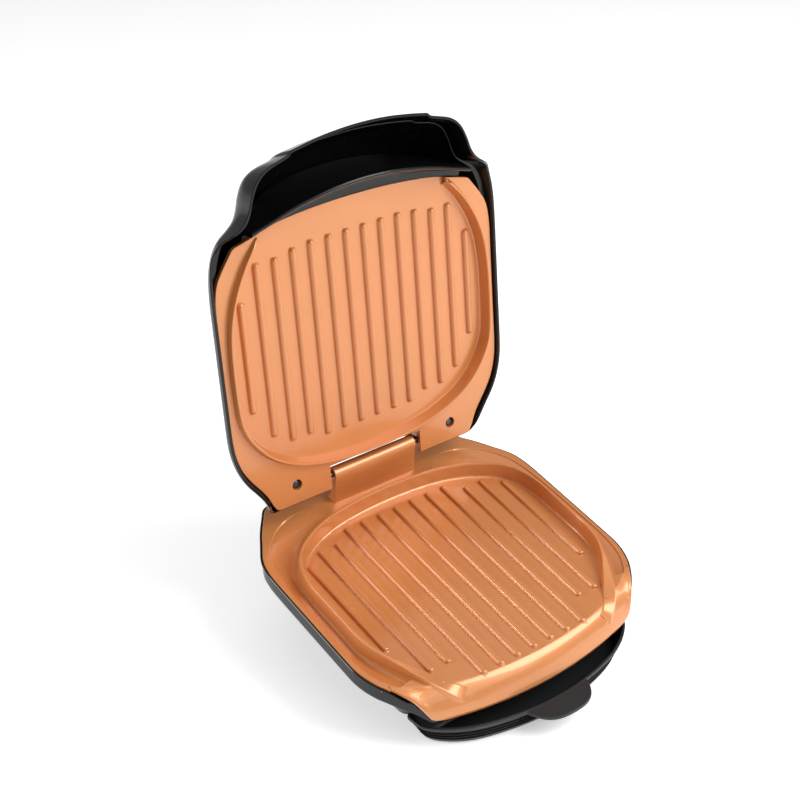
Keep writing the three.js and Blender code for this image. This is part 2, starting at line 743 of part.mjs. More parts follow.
// Lid plate: slab, ridge, ribs and two slotted lugs, open at the back for the hinge's tongue
function lidGrillPlate() {
  const point = ([width, depth]) => new THREE.Vector2(
    width * lidPlateHalfWidth, depth * (depth > 0 ? lidPlateFront : lidPlateBack));
  const outline = mirrored(lidPlateShares.map(point));
  const slab = joined(
    raised(outline, lidFlangeLevel - lidFlangeThickness, lidFlangeLevel),
    raised(grown(outline, -flangeWidth), lidUnderside, lidFlangeLevel - lidFlangeThickness + jointBite));
  const basin = basinOutline(ridgeShares, ridgeHalfWidth, ridgeFront, ridgeBack, lidPlateFront + overrun);
  const recess = raised(basin, floorLevel, overrun);
  const notch = block(
    [-notchHalfWidth, -lidPlateBack - overrun, lidUnderside - overrun],
    [notchHalfWidth, -lidPlateBack + notchDepth, lidFlangeLevel + overrun]);
  const slotBottom = hingeInLidLevel - floatTravel - holeRadius;
  const slotTop = hingeInLidLevel + holeRadius;
  const lugs = [-1, 1].map((side) => sideBlock(
    side, notchHalfWidth, notchHalfWidth + lugThickness + lugWall,
    [hingeInLidBack - lugHalfHeight, slotBottom - lugWall],
    [hingeInLidBack + lugHalfHeight, lidFlangeLevel - jointBite]));
  const slots = [-1, 1].map((side) => sideBlock(
    side, notchHalfWidth - overrun, pinHalfLength + restGap,
    [hingeInLidBack - holeRadius, slotBottom], [hingeInLidBack + holeRadius, slotTop]));
  const bars = ribs(2 * lidRibFrontShares.length, lidRibMargin, lidRibReach,
    lidRibFrontShares, lidRibBackShares, 1, floorLevel);
  const cast = joined(cut(slab, recess), lidRidge(), ...bars, ...lugs);
  return cut(cast, notch, ...slots, ...lidScrewHoles());
}

// The wall of the base shell: rim, bead, side, turned-in foot, and the ledge inside it
function baseShell() {
  const ring = (growth, level) => {
    const moved = grown(deckOutline, rimTucks.map((tuck) => growth(tuck)));
    return moved.map((p, i) => onTable(p.x, p.y, level(rimFalls[i])));
  };
  const bottomRing = (growth, level) => grown(bottomOutline, growth).map((p) => at(p, level(p)));
  const rimGrowth = (tuck) => mix(rimProud, -rimFrontInset, tuck);
  const rimTop = (fall) => mix(rimLevel, rimFrontLevel, fall);
  const beadLevel = (fall) => rimTop(fall) - mix(rimBead, rimFrontBead, fall);
  const wallTop = (fall) => beadLevel(fall) - mix(rimProud, restGap, fall);
  const wallFoot = (fall) => rimTop(fall) - mix(sideWallHeight, frontWallHeight, fall);
  const wallGrowth = (tuck) => mix(-wallInset, -rimFrontInset - wallInset, tuck);
  const turnIn = turnInShare * shellThickness;
  const thick = ({ side, front }, fall) => mix(side, front, fall) * shellThickness;
  const turnDown = (fall) => thick(turnDownShares, fall);
  const ledgeTop = (fall) => mix(
    flangeLevel - flangeThickness - restGap, rimFrontLevel - restGap, fall);
  const ledgeReach = (tuck) => -mix(ledgeWidth, ledgeFrontShare * ledgeWidth, tuck);
  const seatGrowth = (tuck) => mix(restGap, -rimFrontInset - shellThickness, tuck);
  const frontSpace = (p) => (p.y < 0 ? trayRoomLevel : bottomLevel + bottomStepSide);
  return lofted([
    ring(rimGrowth, rimTop),
    ring(rimGrowth, beadLevel),
    ring(wallGrowth, wallTop),
    ring(wallGrowth, wallFoot),
    ring((tuck) => wallGrowth(tuck) - turnIn, (fall) => wallFoot(fall) - turnDown(fall)),
    bottomRing(stepLean, frontSpace),
    bottomRing(0, () => bottomLevel),
    bottomRing(-shellThickness, () => bottomLevel),
    bottomRing(0, (p) => frontSpace(p) + shellThickness),
    ring((tuck) => wallGrowth(tuck) - turnIn - shellThickness,
      (fall) => wallFoot(fall) - turnDown(fall) + thick(liningShares, fall)),
    ring(ledgeReach, (fall) => wallFoot(fall) + thick(ledgeFootShares, fall)),
    ring(ledgeReach, ledgeTop),
    ring(seatGrowth, ledgeTop),
    ring(seatGrowth, rimTop),
  ], true);
}

// The base shell with the boss, hole and pocket of the mains inlet in its back wall
function baseHousing() {
  const placed = (shape) => shape.rotate([deckTilt / degree, 0, 0]).translate([0, 0, deckHeight]);
  const bar = (radius, from, to) => {
    const geometry = new THREE.CylinderGeometry(radius, radius, to - from, turnedSides);
    return solid(geometry.translate(-inletOffset, (from + to) / 2, inletLevel));
  };
  const plateRoom = block(
    [-inletOffset - inletBossRadius, deckBack - overrun - inletBossDepth, deckUnderside - restGap],
    [-inletOffset + inletBossRadius, deckBack + restGap, overrun]);
  const boss = cut(bar(inletBossRadius, inletFace - inletBossDepth, inletFace), plateRoom);
  const innerFace = inletFace - inletBossDepth;
  const hole = bar(inletSleeve + restGap, innerFace - overrun, inletFace + overrun);
  const pocket = bar(inletSleeve + inletFlangeThickness, innerFace - overrun, innerFace);
  return cut(joined(baseShell(), placed(boss)), placed(hole), placed(pocket));
}

// Places of the feet and of the pillars over them
const footPlaces = [
  [-footFrontSpread, -footFrontSetback], [footFrontSpread, -footFrontSetback],
  [-footBackSpread, footBackSetback], [footBackSpread, footBackSetback],
];

// Bottom cover with four pillars that carry the screws of the feet
function baseCover() {
  const edge = grown(bottomOutline, -shellThickness - restGap);
  const plate = raised(edge, bottomLevel, bottomLevel + coverThickness);
  const pillars = footPlaces.map(([x, y]) => {
    const top = deckLevelAt(y - pillarRadius, deckUnderside) - restGap;
    return upright(pillarRadius, x, y, bottomLevel, top, postSides);
  });
  const holeTop = footRecess + screwLength + jointBite;
  const holes = footPlaces.map(([x, y]) => (
    upright(screwHoleRadius, x, y, bottomLevel - overrun, holeTop, holeSides)));
  return cut(joined(plate, ...pillars), ...holes);
}

// A round rubber foot, recessed below for its screw
function rubberFoot() {
  const top = bottomLevel - restGap;
  const headRoom = screwHeadRadius + restGap;
  return turned([
    [headRoom, 0], [footRadius - jointBite, 0], [footRadius, jointBite], [footRadius, top],
    [screwHoleRadius, top], [screwHoleRadius, footRecess], [headRoom, footRecess], [headRoom, 0],
  ]);
}

// A pan-head screw that stands on its head
function screw() {
  return turned([
    [0, 0], [screwHeadRadius / 2, 0], [screwHeadRadius, screwHeadHeight / 2],
    [screwHeadRadius, screwHeadHeight], [screwRadius, screwHeadHeight],
    [screwRadius, screwLength], [0, screwLength],
  ], postSides);
}

// A bent tubular heater, open at its tails, with its middle line at one level
function heater(level, tailSign) {
  const corner = heaterHalfWidth / 2;
  const bow = heaterHalfDepth + heaterRadius;
  const half = [
    [heaterTailSpread, heaterHalfDepth - corner], [heaterTailSpread + heaterRadius, heaterHalfDepth],
    [heaterHalfWidth - corner / 2, bow], [heaterHalfWidth, heaterHalfDepth - corner],
    [heaterHalfWidth, corner - heaterHalfDepth], [heaterHalfWidth - corner / 2, -heaterHalfDepth],
    [heaterHalfWidth * heaterBowShare, -bow],
  ];
  const right = half.map(([x, y]) => new THREE.Vector3(x, y * tailSign, level));
  const left = half.map(([x, y]) => new THREE.Vector3(-x, y * tailSign, level)).reverse();
  const tail = (side) => new THREE.Vector3(
    side * heaterTailSpread, tailSign * (heaterHalfDepth - corner - heaterTailLength), level);
  return tube([tail(1), ...right, ...left, tail(-1)], heaterRadius, heaterSteps);
}

// A flat sheet with round corners
function reflector(level) {
  const shape = new THREE.Shape();
  const straightX = reflectorHalfWidth - reflectorCorner;
  const straightY = reflectorHalfDepth - reflectorCorner;
  const corners = [[1, 1], [-1, 1], [-1, -1], [1, -1]];
  corners.forEach(([sideX, sideY], quarter) => shape.absarc(
    sideX * straightX, sideY * straightY, reflectorCorner,
    quarter * Math.PI / 2, (quarter + 1) * Math.PI / 2, false));
  const geometry = new THREE.ExtrudeGeometry(
    shape, { depth: reflectorThickness, bevelEnabled: false, curveSegments: cornerSteps });
  return solid(geometry.translate(0, 0, level));
}

// A round thermostat that hangs from the plate, with two contact pins
function thermostat() {
  const low = -thermostatHeight;
  const pin = thermostatPinRadius;
  return joined(
    turned([[0, low], [thermostatRadius, low], [thermostatRadius, 0], [0, 0]]),
    ...[-1, 1].map((side) => upright(
      pin, side * thermostatRadius / 2, 0, low - thermostatHeight / 2, low + jointBite, contactSides)));
}

// A thermal fuse with its two leads, lying along the width
function thermalFuse() {
  const half = fuseLength / 2;
  const neck = fuseRadius * fuseLeadShare;
  const body = turned([
    [0, -half], [neck, -half], [neck, -half / 2], [fuseRadius, -half / 2], [fuseRadius, half / 2],
    [neck, half / 2], [neck, half], [0, half],
  ], postSides);
  return body.rotate([0, 90, 0]);
}

// A terminal block with a row of three posts
function terminalBlock() {
  const body = block(
    [-blockLength / 2, -blockWidth / 2, 0], [blockLength / 2, blockWidth / 2, blockHeight]);
  const posts = [-1, 0, 1].map((place) => upright(blockPostRadius, place * blockPostPitch, 0,
    blockHeight - jointBite, blockHeight + blockPostHeight, holeSides));
  return joined(body, ...posts);
}

// The gland points along its own z axis, with its outer flange at the top
function cordInlet() {
  const innerFace = -inletBossDepth - restGap;
  const innerEnd = innerFace - inletFlangeThickness;
  const innerFlange = inletSleeve + inletFlangeThickness / 2;
  const outerEnd = restGap + inletFlangeThickness;
  return turned([
    [inletBore, innerEnd], [innerFlange, innerEnd], [innerFlange, innerFace],
    [inletSleeve, innerFace], [inletSleeve, restGap], [inletFlange, restGap],
    [inletFlange, outerEnd - jointBite], [inletFlange - jointBite, outerEnd],
    [inletBore, outerEnd], [inletBore, innerEnd],
  ]);
}

// Points of the lid's rim, drawn in towards the middle of the lid
function drawnIn(point, distance) {
  const core = new THREE.Vector2(
    THREE.MathUtils.clamp(point.x, -coreHalfWidth, coreHalfWidth),
    THREE.MathUtils.clamp(point.y, -coreBack, coreFront));
  const way = core.distanceTo(point);
  return new THREE.Vector2(point.x, point.y).lerp(core, Math.min(distance / way, coreEdgeShare));
}

// The rings of the lid shell, from the middle of its dome to its rim and back along its inside
function lidShellRings() {
  const rim = mirrored(lidShellShares.map(([width, depth]) => new THREE.Vector2(
    width * lidShellHalfWidth, depth * (depth > 0 ? lidShellFront : lidShellBack))));
  const rises = mirroredShares(lidShellShares, 2);
  const hoodSides = mirroredShares(lidShellShares, 3);
  const hoodFronts = mirroredShares(lidShellShares, 4);
  const pinches = mirroredShares(lidShellShares, 5);
  const ring = ({ depth, insets: [side, hoodSide, hoodFront] }) => rim.map((p, i) => {
    const plain = 1 - hoodSides[i] - hoodFronts[i];
    const pinch = pinches[i] * Math.min(depth / pinchShare, Math.abs(1 - depth) / pinchShare, 1);
    const share = plain * side + hoodSides[i] * hoodSide + hoodFronts[i] * hoodFront + pinch;
    const sunk = Math.min(rises[i], 0) * Math.max(1 - depth / sunkRimShare, 0);
    return at(drawnIn(p, share * domeInset), lidRimLevel - depth * lidDepth + sunk * hoodRise);
  });
  const rimRing = (share) => rim.map((p, i) => (
    at(drawnIn(p, share * domeInset), lidRimLevel + rises[i] * hoodRise)));
  return {
    outer: [...[...lidOuterShares].reverse().map(ring), rimRing(0)],
    inner: [rimRing(lidRimShare), ...[...lidInnerShares].reverse().map(ring)],
  };
}

// Lid shell: dome and hood, with screw posts, the lined hinge pocket and the hole for the lens
function lidHousing() {
  const { outer, inner } = lidShellRings();
  const shell = lofted([...outer, ...inner]);
  const dome = lofted(outer);
  const postTop = lidUnderside - restGap;
  const holeBottom = lidFlangeLevel - lidScrewRecess - screwLength - jointBite;
  const posts = [-1, 1].map((side) => upright(
    lidPostRadius, side * lidScrewSpread, -lidScrewBack, postTop - lidPostLength, postTop, postSides));
  const postHoles = [-1, 1].map((side) => upright(
    screwHoleRadius, side * lidScrewSpread, -lidScrewBack, holeBottom, 0, holeSides));
  const plateEdge = lidPlateBack - notchDepth - restGap;
  const reach = notchHalfWidth + lugThickness + lugWall + restGap;
  const floor = hingeInLidLevel - floatTravel - knuckleRadius - hingePocketRoom;
  const pocket = block([-reach, -lidShellBack - overrun, floor], [reach, -plateEdge, overrun]);
  const liner = block(
    [-reach - hingePocketWall, -lidShellBack - overrun, floor - hingePocketWall],
    [reach + hingePocketWall, -plateEdge + hingePocketWall, lidUnderside - restGap]);
  const lensHole = upright(lensRadius + restGap, 0, lensForward,
    lidRimLevel - lidDepth - overrun, lidRimLevel - lidDepth / 2, barSides);
  const gate = block([-notchHalfWidth - jointBite, -lidShellBack - overrun, 0],
    [notchHalfWidth + jointBite, -plateEdge, hoodRise]);
  const whole = joined(shell, dome.intersect(joined(liner, ...posts)));
  return cut(whole, ...postHoles, pocket, gate, lensHole);
}

// The bar between lid plate and hood: a foot on the plate, a crest and a leg down into the hood
function lidFrontBaffle() {
  const stations = baffleShares.map(([width, edge, crest, leg]) => {
    const x = width * baffleHalfWidth;
    const near = edge * baffleEdge;
    const top = crest * baffleCrest;
    const bottom = -leg * baffleLegDepth;
    const t = baffleThickness;
    const shoulder = baffleRise - t * baffleCrestShares.shoulder;
    return [
      [near, lidUnderside], [near, 0], [top - t / 2, shoulder], [top, baffleRise],
      [top + t / 2, shoulder], [top + t, bottom], [top, bottom],
      [top - t * baffleCrestShares.back, baffleRise - t * baffleCrestShares.root],
      [near + t, -t], [near + t, lidUnderside],
    ].map(([y, z]) => new THREE.Vector3(x, y, z));
  });
  const others = stations.slice(1).reverse().map((ring) => (
    ring.map((p) => new THREE.Vector3(-p.x, p.y, p.z))));
  return lofted([...others, ...stations]);
}

// The pilot light's lens, with a flange behind the shell
function indicatorLens() {
  const seat = shellThickness + restGap;
  return turned([
    [0, -seat - lensFlangeThickness], [lensFlange, -seat - lensFlangeThickness], [lensFlange, -seat],
    [lensRadius, -seat], [lensRadius, lensProud / 2], [lensRadius / 2, lensProud], [0, lensProud],
  ], barSides);
}

// The small lamp behind the lens
function indicatorLamp() {
  return turned([
    [0, 0], [lampRadius * lampTipShare, 0], [lampRadius, lampRadius / 2], [lampRadius, lampLength],
    [0, lampLength],
  ], postSides);
}

// The pull tab of the drip tray, with a round front edge
function trayTab() {
  const tab = new THREE.Shape();
  const root = -trayFront + trayWall / 2 + trayWall;
  const tip = -trayFront - tabReach;
  const shoulder = tabHalfWidth * tabShares.shoulder;
  const draw = tip + tabReach * tabShares.draw;
  const round = tabHalfWidth * tabShares.tip;
  tab.moveTo(-tabHalfWidth, root);
  tab.bezierCurveTo(-shoulder, draw, -round, tip, 0, tip);
  tab.bezierCurveTo(round, tip, shoulder, draw, tabHalfWidth, root);
  const geometry = new THREE.ExtrudeGeometry(
    tab, { depth: tabThickness, bevelEnabled: false, curveSegments: tabSteps });
  return solid(geometry.translate(0, 0, trayHeight - tabThickness));
}

// The drip tray: an open bowl with fine steps down its outside, and its tab
function dripTray() {
  const half = trayShares.map(([width, depth]) => new THREE.Vector2(
    width * trayHalfWidth, -depth * trayFront));
  const outline = mirrored([...half, new THREE.Vector2(trayHalfWidth, -trayBack)]);
  const right = [...trayShares.map(([, , share]) => share), 1];
  const tapers = [...right, ...right.slice(1).reverse()];
  const depth = trayHeight - trayLift;
  const ring = (share, growth, level) => (
    grown(outline, tapers.map((taper) => growth - taper * share * trayTaper)).map((p) => at(p, level)));
  const [firstStep, ...lowerSteps] = trayStepShares;
  const bowl = lofted([
    ring(1, 0, trayLift),
    ...lowerSteps.reverse().flatMap((share) => [
      ring(share, -trayStep, trayHeight - share * depth), ring(share, 0, trayHeight - share * depth),
    ]),
    ring(0, 0, trayHeight - firstStep * depth), ring(0, 0, trayHeight), ring(0, -trayWall, trayHeight),
    ring(1, -trayWall / 2, trayLift + trayFloor),
  ]);
  return joined(bowl, trayTab());
}

// The steel pin of the hinge
function hingePin() {
  return crossbar(pinRadius, 0, 0, pinHalfLength);
}

// A named piece of the grill
function piece(name, body, material, place = [0, 0, 0]) {
  const mesh = new THREE.Mesh(geometryOf(body), material);
  mesh.name = name;
  mesh.position.set(...place);
  return mesh;
}

// Everything that lies along the tilted deck
const deck = new THREE.Group();
deck.rotation.x = deckTilt;
deck.position.z = deckHeight;

// Heaters and sheets lie under their plate, each with a gap to the next
const heaterLevel = deckUnderside - restGap - heaterRadius;
const sheetLevel = heaterLevel - heaterRadius - restGap - reflectorThickness;
const thermostatHole = upright(
  thermostatRadius + jointBite, 0, 0, sheetLevel - overrun, sheetLevel + overrun);
deck.add(
  piece('lower_grill_plate', lowerGrillPlate(), materials.copper),
  piece('lower_heating_element', heater(heaterLevel, 1), materials.steel),
  piece('lower_heat_reflector', cut(reflector(sheetLevel), thermostatHole), materials.sheet),
  piece('thermostat', thermostat(), materials.ceramic, [0, 0, deckUnderside - restGap]),
  piece('thermal_fuse', thermalFuse(), materials.sheet,
    [0, -fuseSetback, sheetLevel - restGap - fuseRadius]),
);
const inlet = piece('cord_inlet', cordInlet(), materials.rubber, [-inletOffset, inletFace, inletLevel]);
inlet.rotation.x = -Math.PI / 2;
deck.add(inlet);

// The lid, leaning back about the pin
const lid = new THREE.Group();
lid.rotation.x = lidLean;
lid.position.set(
  0,
  hingeBack - hingeInLidBack * Math.cos(lidLean) + hingeInLidLevel * Math.sin(lidLean),
  hingeHeight - hingeInLidBack * Math.sin(lidLean) - hingeInLidLevel * Math.cos(lidLean));
deck.add(lid);

const lidHeaterLevel = lidUnderside - restGap - heaterRadius;
const lidSheetLevel = lidHeaterLevel - heaterRadius - restGap - reflectorThickness;
const lidTop = lidRimLevel - lidDepth;
lid.add(
  piece('lid_housing', lidHousing(), materials.gloss),
  piece('lid_grill_plate', lidGrillPlate(), materials.copper),
  piece('lid_front_baffle', lidFrontBaffle(), materials.gloss),
  piece('lid_heating_element', heater(lidHeaterLevel, -1), materials.steel),
  piece('lid_heat_reflector', reflector(lidSheetLevel), materials.sheet),
);
const lens = piece('indicator_lens', indicatorLens(), materials.lens, [0, lensForward, lidTop]);
lens.rotation.x = Math.PI;
const lampLevel = lidTop + shellThickness + 2 * restGap + lensFlangeThickness;
lid.add(lens, piece('indicator_lamp', indicatorLamp(), materials.ceramic, [0, lensForward, lampLevel]));
['left', 'right'].forEach((side, i) => {
  const x = (2 * i - 1) * lidScrewSpread;
  const fixing = piece(`lid_screw_${side}`, screw(), materials.steel,
    [x, -lidScrewBack, lidFlangeLevel - lidScrewRecess]);
  fixing.rotation.x = Math.PI;
  lid.add(fixing);
});
const pin = piece('hinge_pin', hingePin(), materials.steel, [0, hingeBack, hingeHeight]);
deck.add(pin);

// The base and all that stands on the table
const grill = new THREE.Group();
grill.add(
  deck,
  piece('base_housing', baseHousing(), materials.gloss),
  piece('base_cover', baseCover(), materials.satin),
  piece('terminal_block', terminalBlock(), materials.ceramic,
    [0, blockSetback, bottomLevel + coverThickness + restGap]),
  piece('drip_tray', dripTray(), materials.satin),
);
['front_left', 'front_right', 'rear_left', 'rear_right'].forEach((corner, i) => {
  const [x, y] = footPlaces[i];
  grill.add(
    piece(`foot_${corner}`, rubberFoot(), materials.rubber, [x, y, 0]),
    piece(`foot_screw_${corner}`, screw(), materials.steel,
      [x, y, footRecess - screwHeadHeight - restGap]),
  );
});

// The grill stands with the middle of its whole depth over the origin
const extent = new THREE.Box3().setFromObject(grill, true);
grill.position.y = -(extent.min.y + extent.max.y) / 2;

const group = new THREE.Group();
group.add(grill);

export default group;
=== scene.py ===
"""Finished surfaces of a small clamshell contact grill that stands open.

Every shape is worked out in millimetres in its own frame: the deck frame lies on the tilted lower
plate, the lid frame on the lid plate, and the table frame on the worktop. Each piece is then set
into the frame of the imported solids, in metres.
"""
import json
import math

import bmesh
import bpy
from bpy.props import FloatProperty, FloatVectorProperty, PointerProperty
from mathutils import Matrix, Vector


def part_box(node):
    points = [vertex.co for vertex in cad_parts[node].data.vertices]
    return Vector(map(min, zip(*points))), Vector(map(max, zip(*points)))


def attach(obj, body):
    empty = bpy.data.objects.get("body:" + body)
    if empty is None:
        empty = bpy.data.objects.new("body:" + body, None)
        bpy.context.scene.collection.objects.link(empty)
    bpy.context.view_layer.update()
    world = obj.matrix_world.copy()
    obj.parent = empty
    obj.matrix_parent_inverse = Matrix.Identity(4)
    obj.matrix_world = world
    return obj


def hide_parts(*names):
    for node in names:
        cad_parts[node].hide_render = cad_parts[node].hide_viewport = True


bl_info = {
    "name": "Contact grill",
    "version": (1, 0, 0),
    "blender": (4, 5, 0),
    "location": "View3D > Sidebar > Grill",
    "description": "Builds the finished surfaces of a clamshell contact grill round its packed solids",
    "category": "Object",
}

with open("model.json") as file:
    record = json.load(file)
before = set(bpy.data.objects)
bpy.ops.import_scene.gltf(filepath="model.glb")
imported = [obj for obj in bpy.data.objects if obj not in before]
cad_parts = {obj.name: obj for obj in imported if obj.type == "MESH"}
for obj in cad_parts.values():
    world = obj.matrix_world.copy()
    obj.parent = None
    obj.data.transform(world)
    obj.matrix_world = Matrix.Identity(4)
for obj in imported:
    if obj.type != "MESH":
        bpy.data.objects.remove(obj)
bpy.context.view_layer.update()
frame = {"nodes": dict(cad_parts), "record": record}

MILLIMETRE = 0.001
FINISH_MARK = "grill_"
# The Texture Coordinate node's output for places on the piece itself
OBJECT_OUTPUT = 3
SHARP_ANGLE = math.radians(32)
ROUND_SIDES = 48
TINY = 1e-6
# Step between faces that would lie in one plane, and how far a cutter reaches past what it cuts.
HAIR = 0.02
REACH_PAST = 4

# Pose of the grill
DECK_TILT = math.radians(9.425)
DECK_HEIGHT = 50
LID_LEAN = math.radians(74.22)
HINGE_BACK = 95.3
HINGE_HEIGHT = 18.7
HINGE_IN_LID_BACK = 2.5 - HINGE_BACK
HINGE_IN_LID_LEVEL = 15 - HINGE_HEIGHT

# Lower plate
DECK_HALF_WIDTH = 99.5
DECK_BACK = 108
DECK_FRONT = 82
FLANGE_LEVEL = -0.9
FLANGE_THICKNESS = 1.6
FLANGE_WIDTH = 4.2
FLOOR_LEVEL = -2.5
DECK_UNDERSIDE = -5.5
LIP_FALL = 14.9
LIP_THICKNESS = 2.4
EDGE_ROUNDING = 0.5
LOWER_FLOOR_HALF_WIDTH = 88
LOWER_FLOOR_BACK = 80
LOWER_FLOOR_PAST_LIP = 3
FLOOR_DIVE = 0.05
FLOOR_ROOT = 0.5
FLOOR_ROOT_CLEAR = 0.6
CLIP_DEPTH = -10
CLIP_HEIGHT = 6

# Ribs
LOWER_RIB_COUNT = 13
LOWER_RIB_SPAN = 150
LOWER_RIB_REACH = 68.7
LID_RIB_COUNT = 14
LID_RIB_SPAN = 162.5
LID_RIB_REACH = 64.2

# Wall round the lower cooking area
WALL_HALF_WIDTH = 87.8
WALL_BACK = 79.4
WALL_FRONT = 70
WALL_RISE = 7.1
WALL_HALF_THICKNESS = 0.9

# Tongue and knuckle
KNUCKLE_RADIUS = 4.4
TONGUE_HALF_WIDTH = 31
NOTCH_HALF_WIDTH = 34.5
LUG_THICKNESS = 4.8
LUG_HALF_HEIGHT = 5
LUG_WALL = 2.4
LUG_SUNK = 1
PIN_HOLE_RADIUS = 2.3
FLOAT_TRAVEL = 7.5
BORE_HALF_LENGTH = 40

# Lid plate
LID_PLATE_HALF_WIDTH = 99
LID_PLATE_BACK = 100
LID_PLATE_FRONT = 80.5
LID_FLANGE_LEVEL = 1
LID_FLANGE_THICKNESS = 2.5
LID_UNDERSIDE = -5
NOTCH_DEPTH = 16
RIDGE_HALF_WIDTH = 93.8
RIDGE_BACK = 81.5
RIDGE_FRONT = 70
RIDGE_RISE = 5.2
LID_SCREW_SPREAD = 59
LID_SCREW_BACK = 87.5
SCREW_HEAD_ROOM = 3.5
SCREW_HEAD_LEVEL = -2
SCREW_HOLE_RADIUS = 1.9
LID_FLOOR_INSET = 0.4
LID_CLIP_HEIGHT = 8
LID_FLOOR_HALF_WIDTH = 93
LID_FLOOR_BACK = 83
LID_FLOOR_FRONT = 84

# Base shell
RIM_PROUD = 1.3
RIM_LEVEL = -1.6
RIM_FRONT_LEVEL = -18.8
RIM_FRONT_INSET = 1.2
RIM_BEAD = 1
RIM_FRONT_BEAD = 0.4
WALL_INSET = 0.5
SIDE_WALL_HEIGHT = 11.7
FRONT_WALL_HEIGHT = 2
SHELL_THICKNESS = 2.4
LEDGE_WIDTH = 3
BOTTOM_HALF_WIDTH = 76
BOTTOM_BACK = 92
BOTTOM_FRONT = 43.5
BOTTOM_LEVEL = 8
BOTTOM_STEP = 5.5
TRAY_ROOM_LEVEL = 16.6
STEP_LEAN = 3
GAP = 0.3

# Cord inlet
INLET_OFFSET = 45
INLET_LEVEL = -12.2
INLET_SLEEVE = 5
INLET_FLANGE_THICKNESS = 1.8
INLET_BOSS_RADIUS = 8.2
INLET_BOSS_PROUD = 1
INLET_BOSS_DEPTH = 7.5
INLET_ROOM = 12
INLET_FACE = DECK_BACK + RIM_PROUD + INLET_BOSS_PROUD

# Lid shell
LID_SHELL_HALF_WIDTH = 101.9
LID_SHELL_BACK = 102.8
LID_SHELL_FRONT = 126
LID_RIM_LEVEL = 3.2
HOOD_RISE = 9.8
LID_DEPTH = 36.2
DOME_INSET = 60
# The dome's rings are drawn in towards a box in its middle: half width, back, front.
CORE = (40, -50, 60)
CORE_EDGE_SHARE = 0.93
SUNK_RIM_REACH = 0.4
PINCH_REACH = 0.31
LID_RIM_INSET = 0.032
RIM_ROUNDING = 0.35
RIM_TURN = 0.0055
KNUCKLE_ROOM = 1
GATE_HEIGHT = 9
LENS_FORWARD = 58
LENS_RADIUS = 4
LENS_HOLE_HEIGHT = 18
POST_RADIUS = 4
POST_HEIGHT = 16
POST_HOLE_BOTTOM = -13.2
POST_SIDES = 24
LINER_WALL = 1.8

# Baffle
BAFFLE_HALF_WIDTH = 77
BAFFLE_EDGE = 81.6
BAFFLE_CREST = 93.4
BAFFLE_RISE = 13.2
BAFFLE_LEG = 23.3
BAFFLE_THICKNESS = 2.2

# Drip tray
TRAY_HALF_WIDTH = 79.5
TRAY_FRONT = 89.5
TRAY_BACK = 47
TRAY_HEIGHT = 15
TRAY_LIFT = 0.3
TRAY_WALL = 1.8
TRAY_FLOOR = 2.1
TRAY_TAPER = 7.5
TRAY_STEP = 0.9
TRAY_EASE = 0.25
TRAY_ROUNDING = 0.35
TRAY_BACK_CORNER = 9
TAB_HALF_WIDTH = 23
TAB_REACH = 12.5
TAB_THICKNESS = 2.5
TAB_SPANS = 16

# Outline of the lower plate: width share, depth share, fall of the edge, fall of the rim, tuck.
DECK_OUTLINE = [
    (0, 1, 0, 0, 0), (0.655, 1, 0, 0, 0), (0.714, 1, 0, 0, 0), (0.774, 0.926, 0, 0, 0),
    (0.844, 0.843, 0, 0, 0), (0.905, 0.75, 0, 0, 0), (0.975, 0.648, 0, 0, 0), (0.995, 0.556, 0, 0, 0),
    (1, 0.463, 0, 0, 0), (1, 0.3, 0, 0, 0), (1, -0.2, 0, 0, 0), (1, -0.366, 0, 0, 0),
    (0.965, -0.512, 0, 0, 0), (0.915, -0.615, 0, 0.03, 0), (0.869, -0.693, 0.074, 0.2, 0),
    (0.827, -0.761, 0.21, 0.32, 0.5), (0.786, -0.824, 0.59, 0.66, 0.85), (0.744, -0.873, 1, 1, 1),
    (0.503, -0.943, 1, 1, 1), (0.251, -0.985, 1, 1, 1), (0, -1, 1, 1, 1),
]
# Outline of the bottom, and the line where the lip breaks off: width share, depth share.
BOTTOM_OUTLINE = [
    (0, 1), (0.55, 1), (0.6, 1), (0.68, 0.95), (0.74, 0.88), (0.79, 0.78), (0.83, 0.66), (0.85, 0.556),
    (0.87, 0.463), (0.89, 0.273), (0.95, -0.307), (0.97, -0.5), (1, -0.72), (1, -0.86), (0.98, -0.95),
    (0.94, -0.99), (0.87, -1), (0.8, -1), (0.5, -1), (0.25, -1), (0, -1),
]
LIP_BREAKS = [
    (0.905, -0.58), (0.846, -0.628), (0.794, -0.665), (0.754, -0.695),
    (0.704, -0.72), (0.482, -0.799), (0.241, -0.841), (0, -0.854),
]
# Points across the lip, as shares of the way to its edge.
LIP_REACHES = (0, 0.08, 0.18, 0.28, 0.38, 0.48, 0.58, 0.68, 0.78, 0.88, 1)
LIP_CURVE = 1.8
LIP_SWELL = 0.25
CORNER_SINK = 0.7
STRIP_WIDTH = 2.5

# Middle line of the wall: width share, depth share.
WALL_PATH = [
    (0, 1), (0.285, 0.985), (0.513, 0.945), (0.706, 0.869), (0.866, 0.762), (0.957, 0.63), (1, 0.453),
    (1, 0.25), (1, -0.05), (1, -0.2), (0.974, -0.371), (0.915, -0.529), (0.849, -0.65), (0.78, -0.757),
    (0.715, -0.857), (0.615, -1),
]
WALL_LEVEL_ROWS = 10
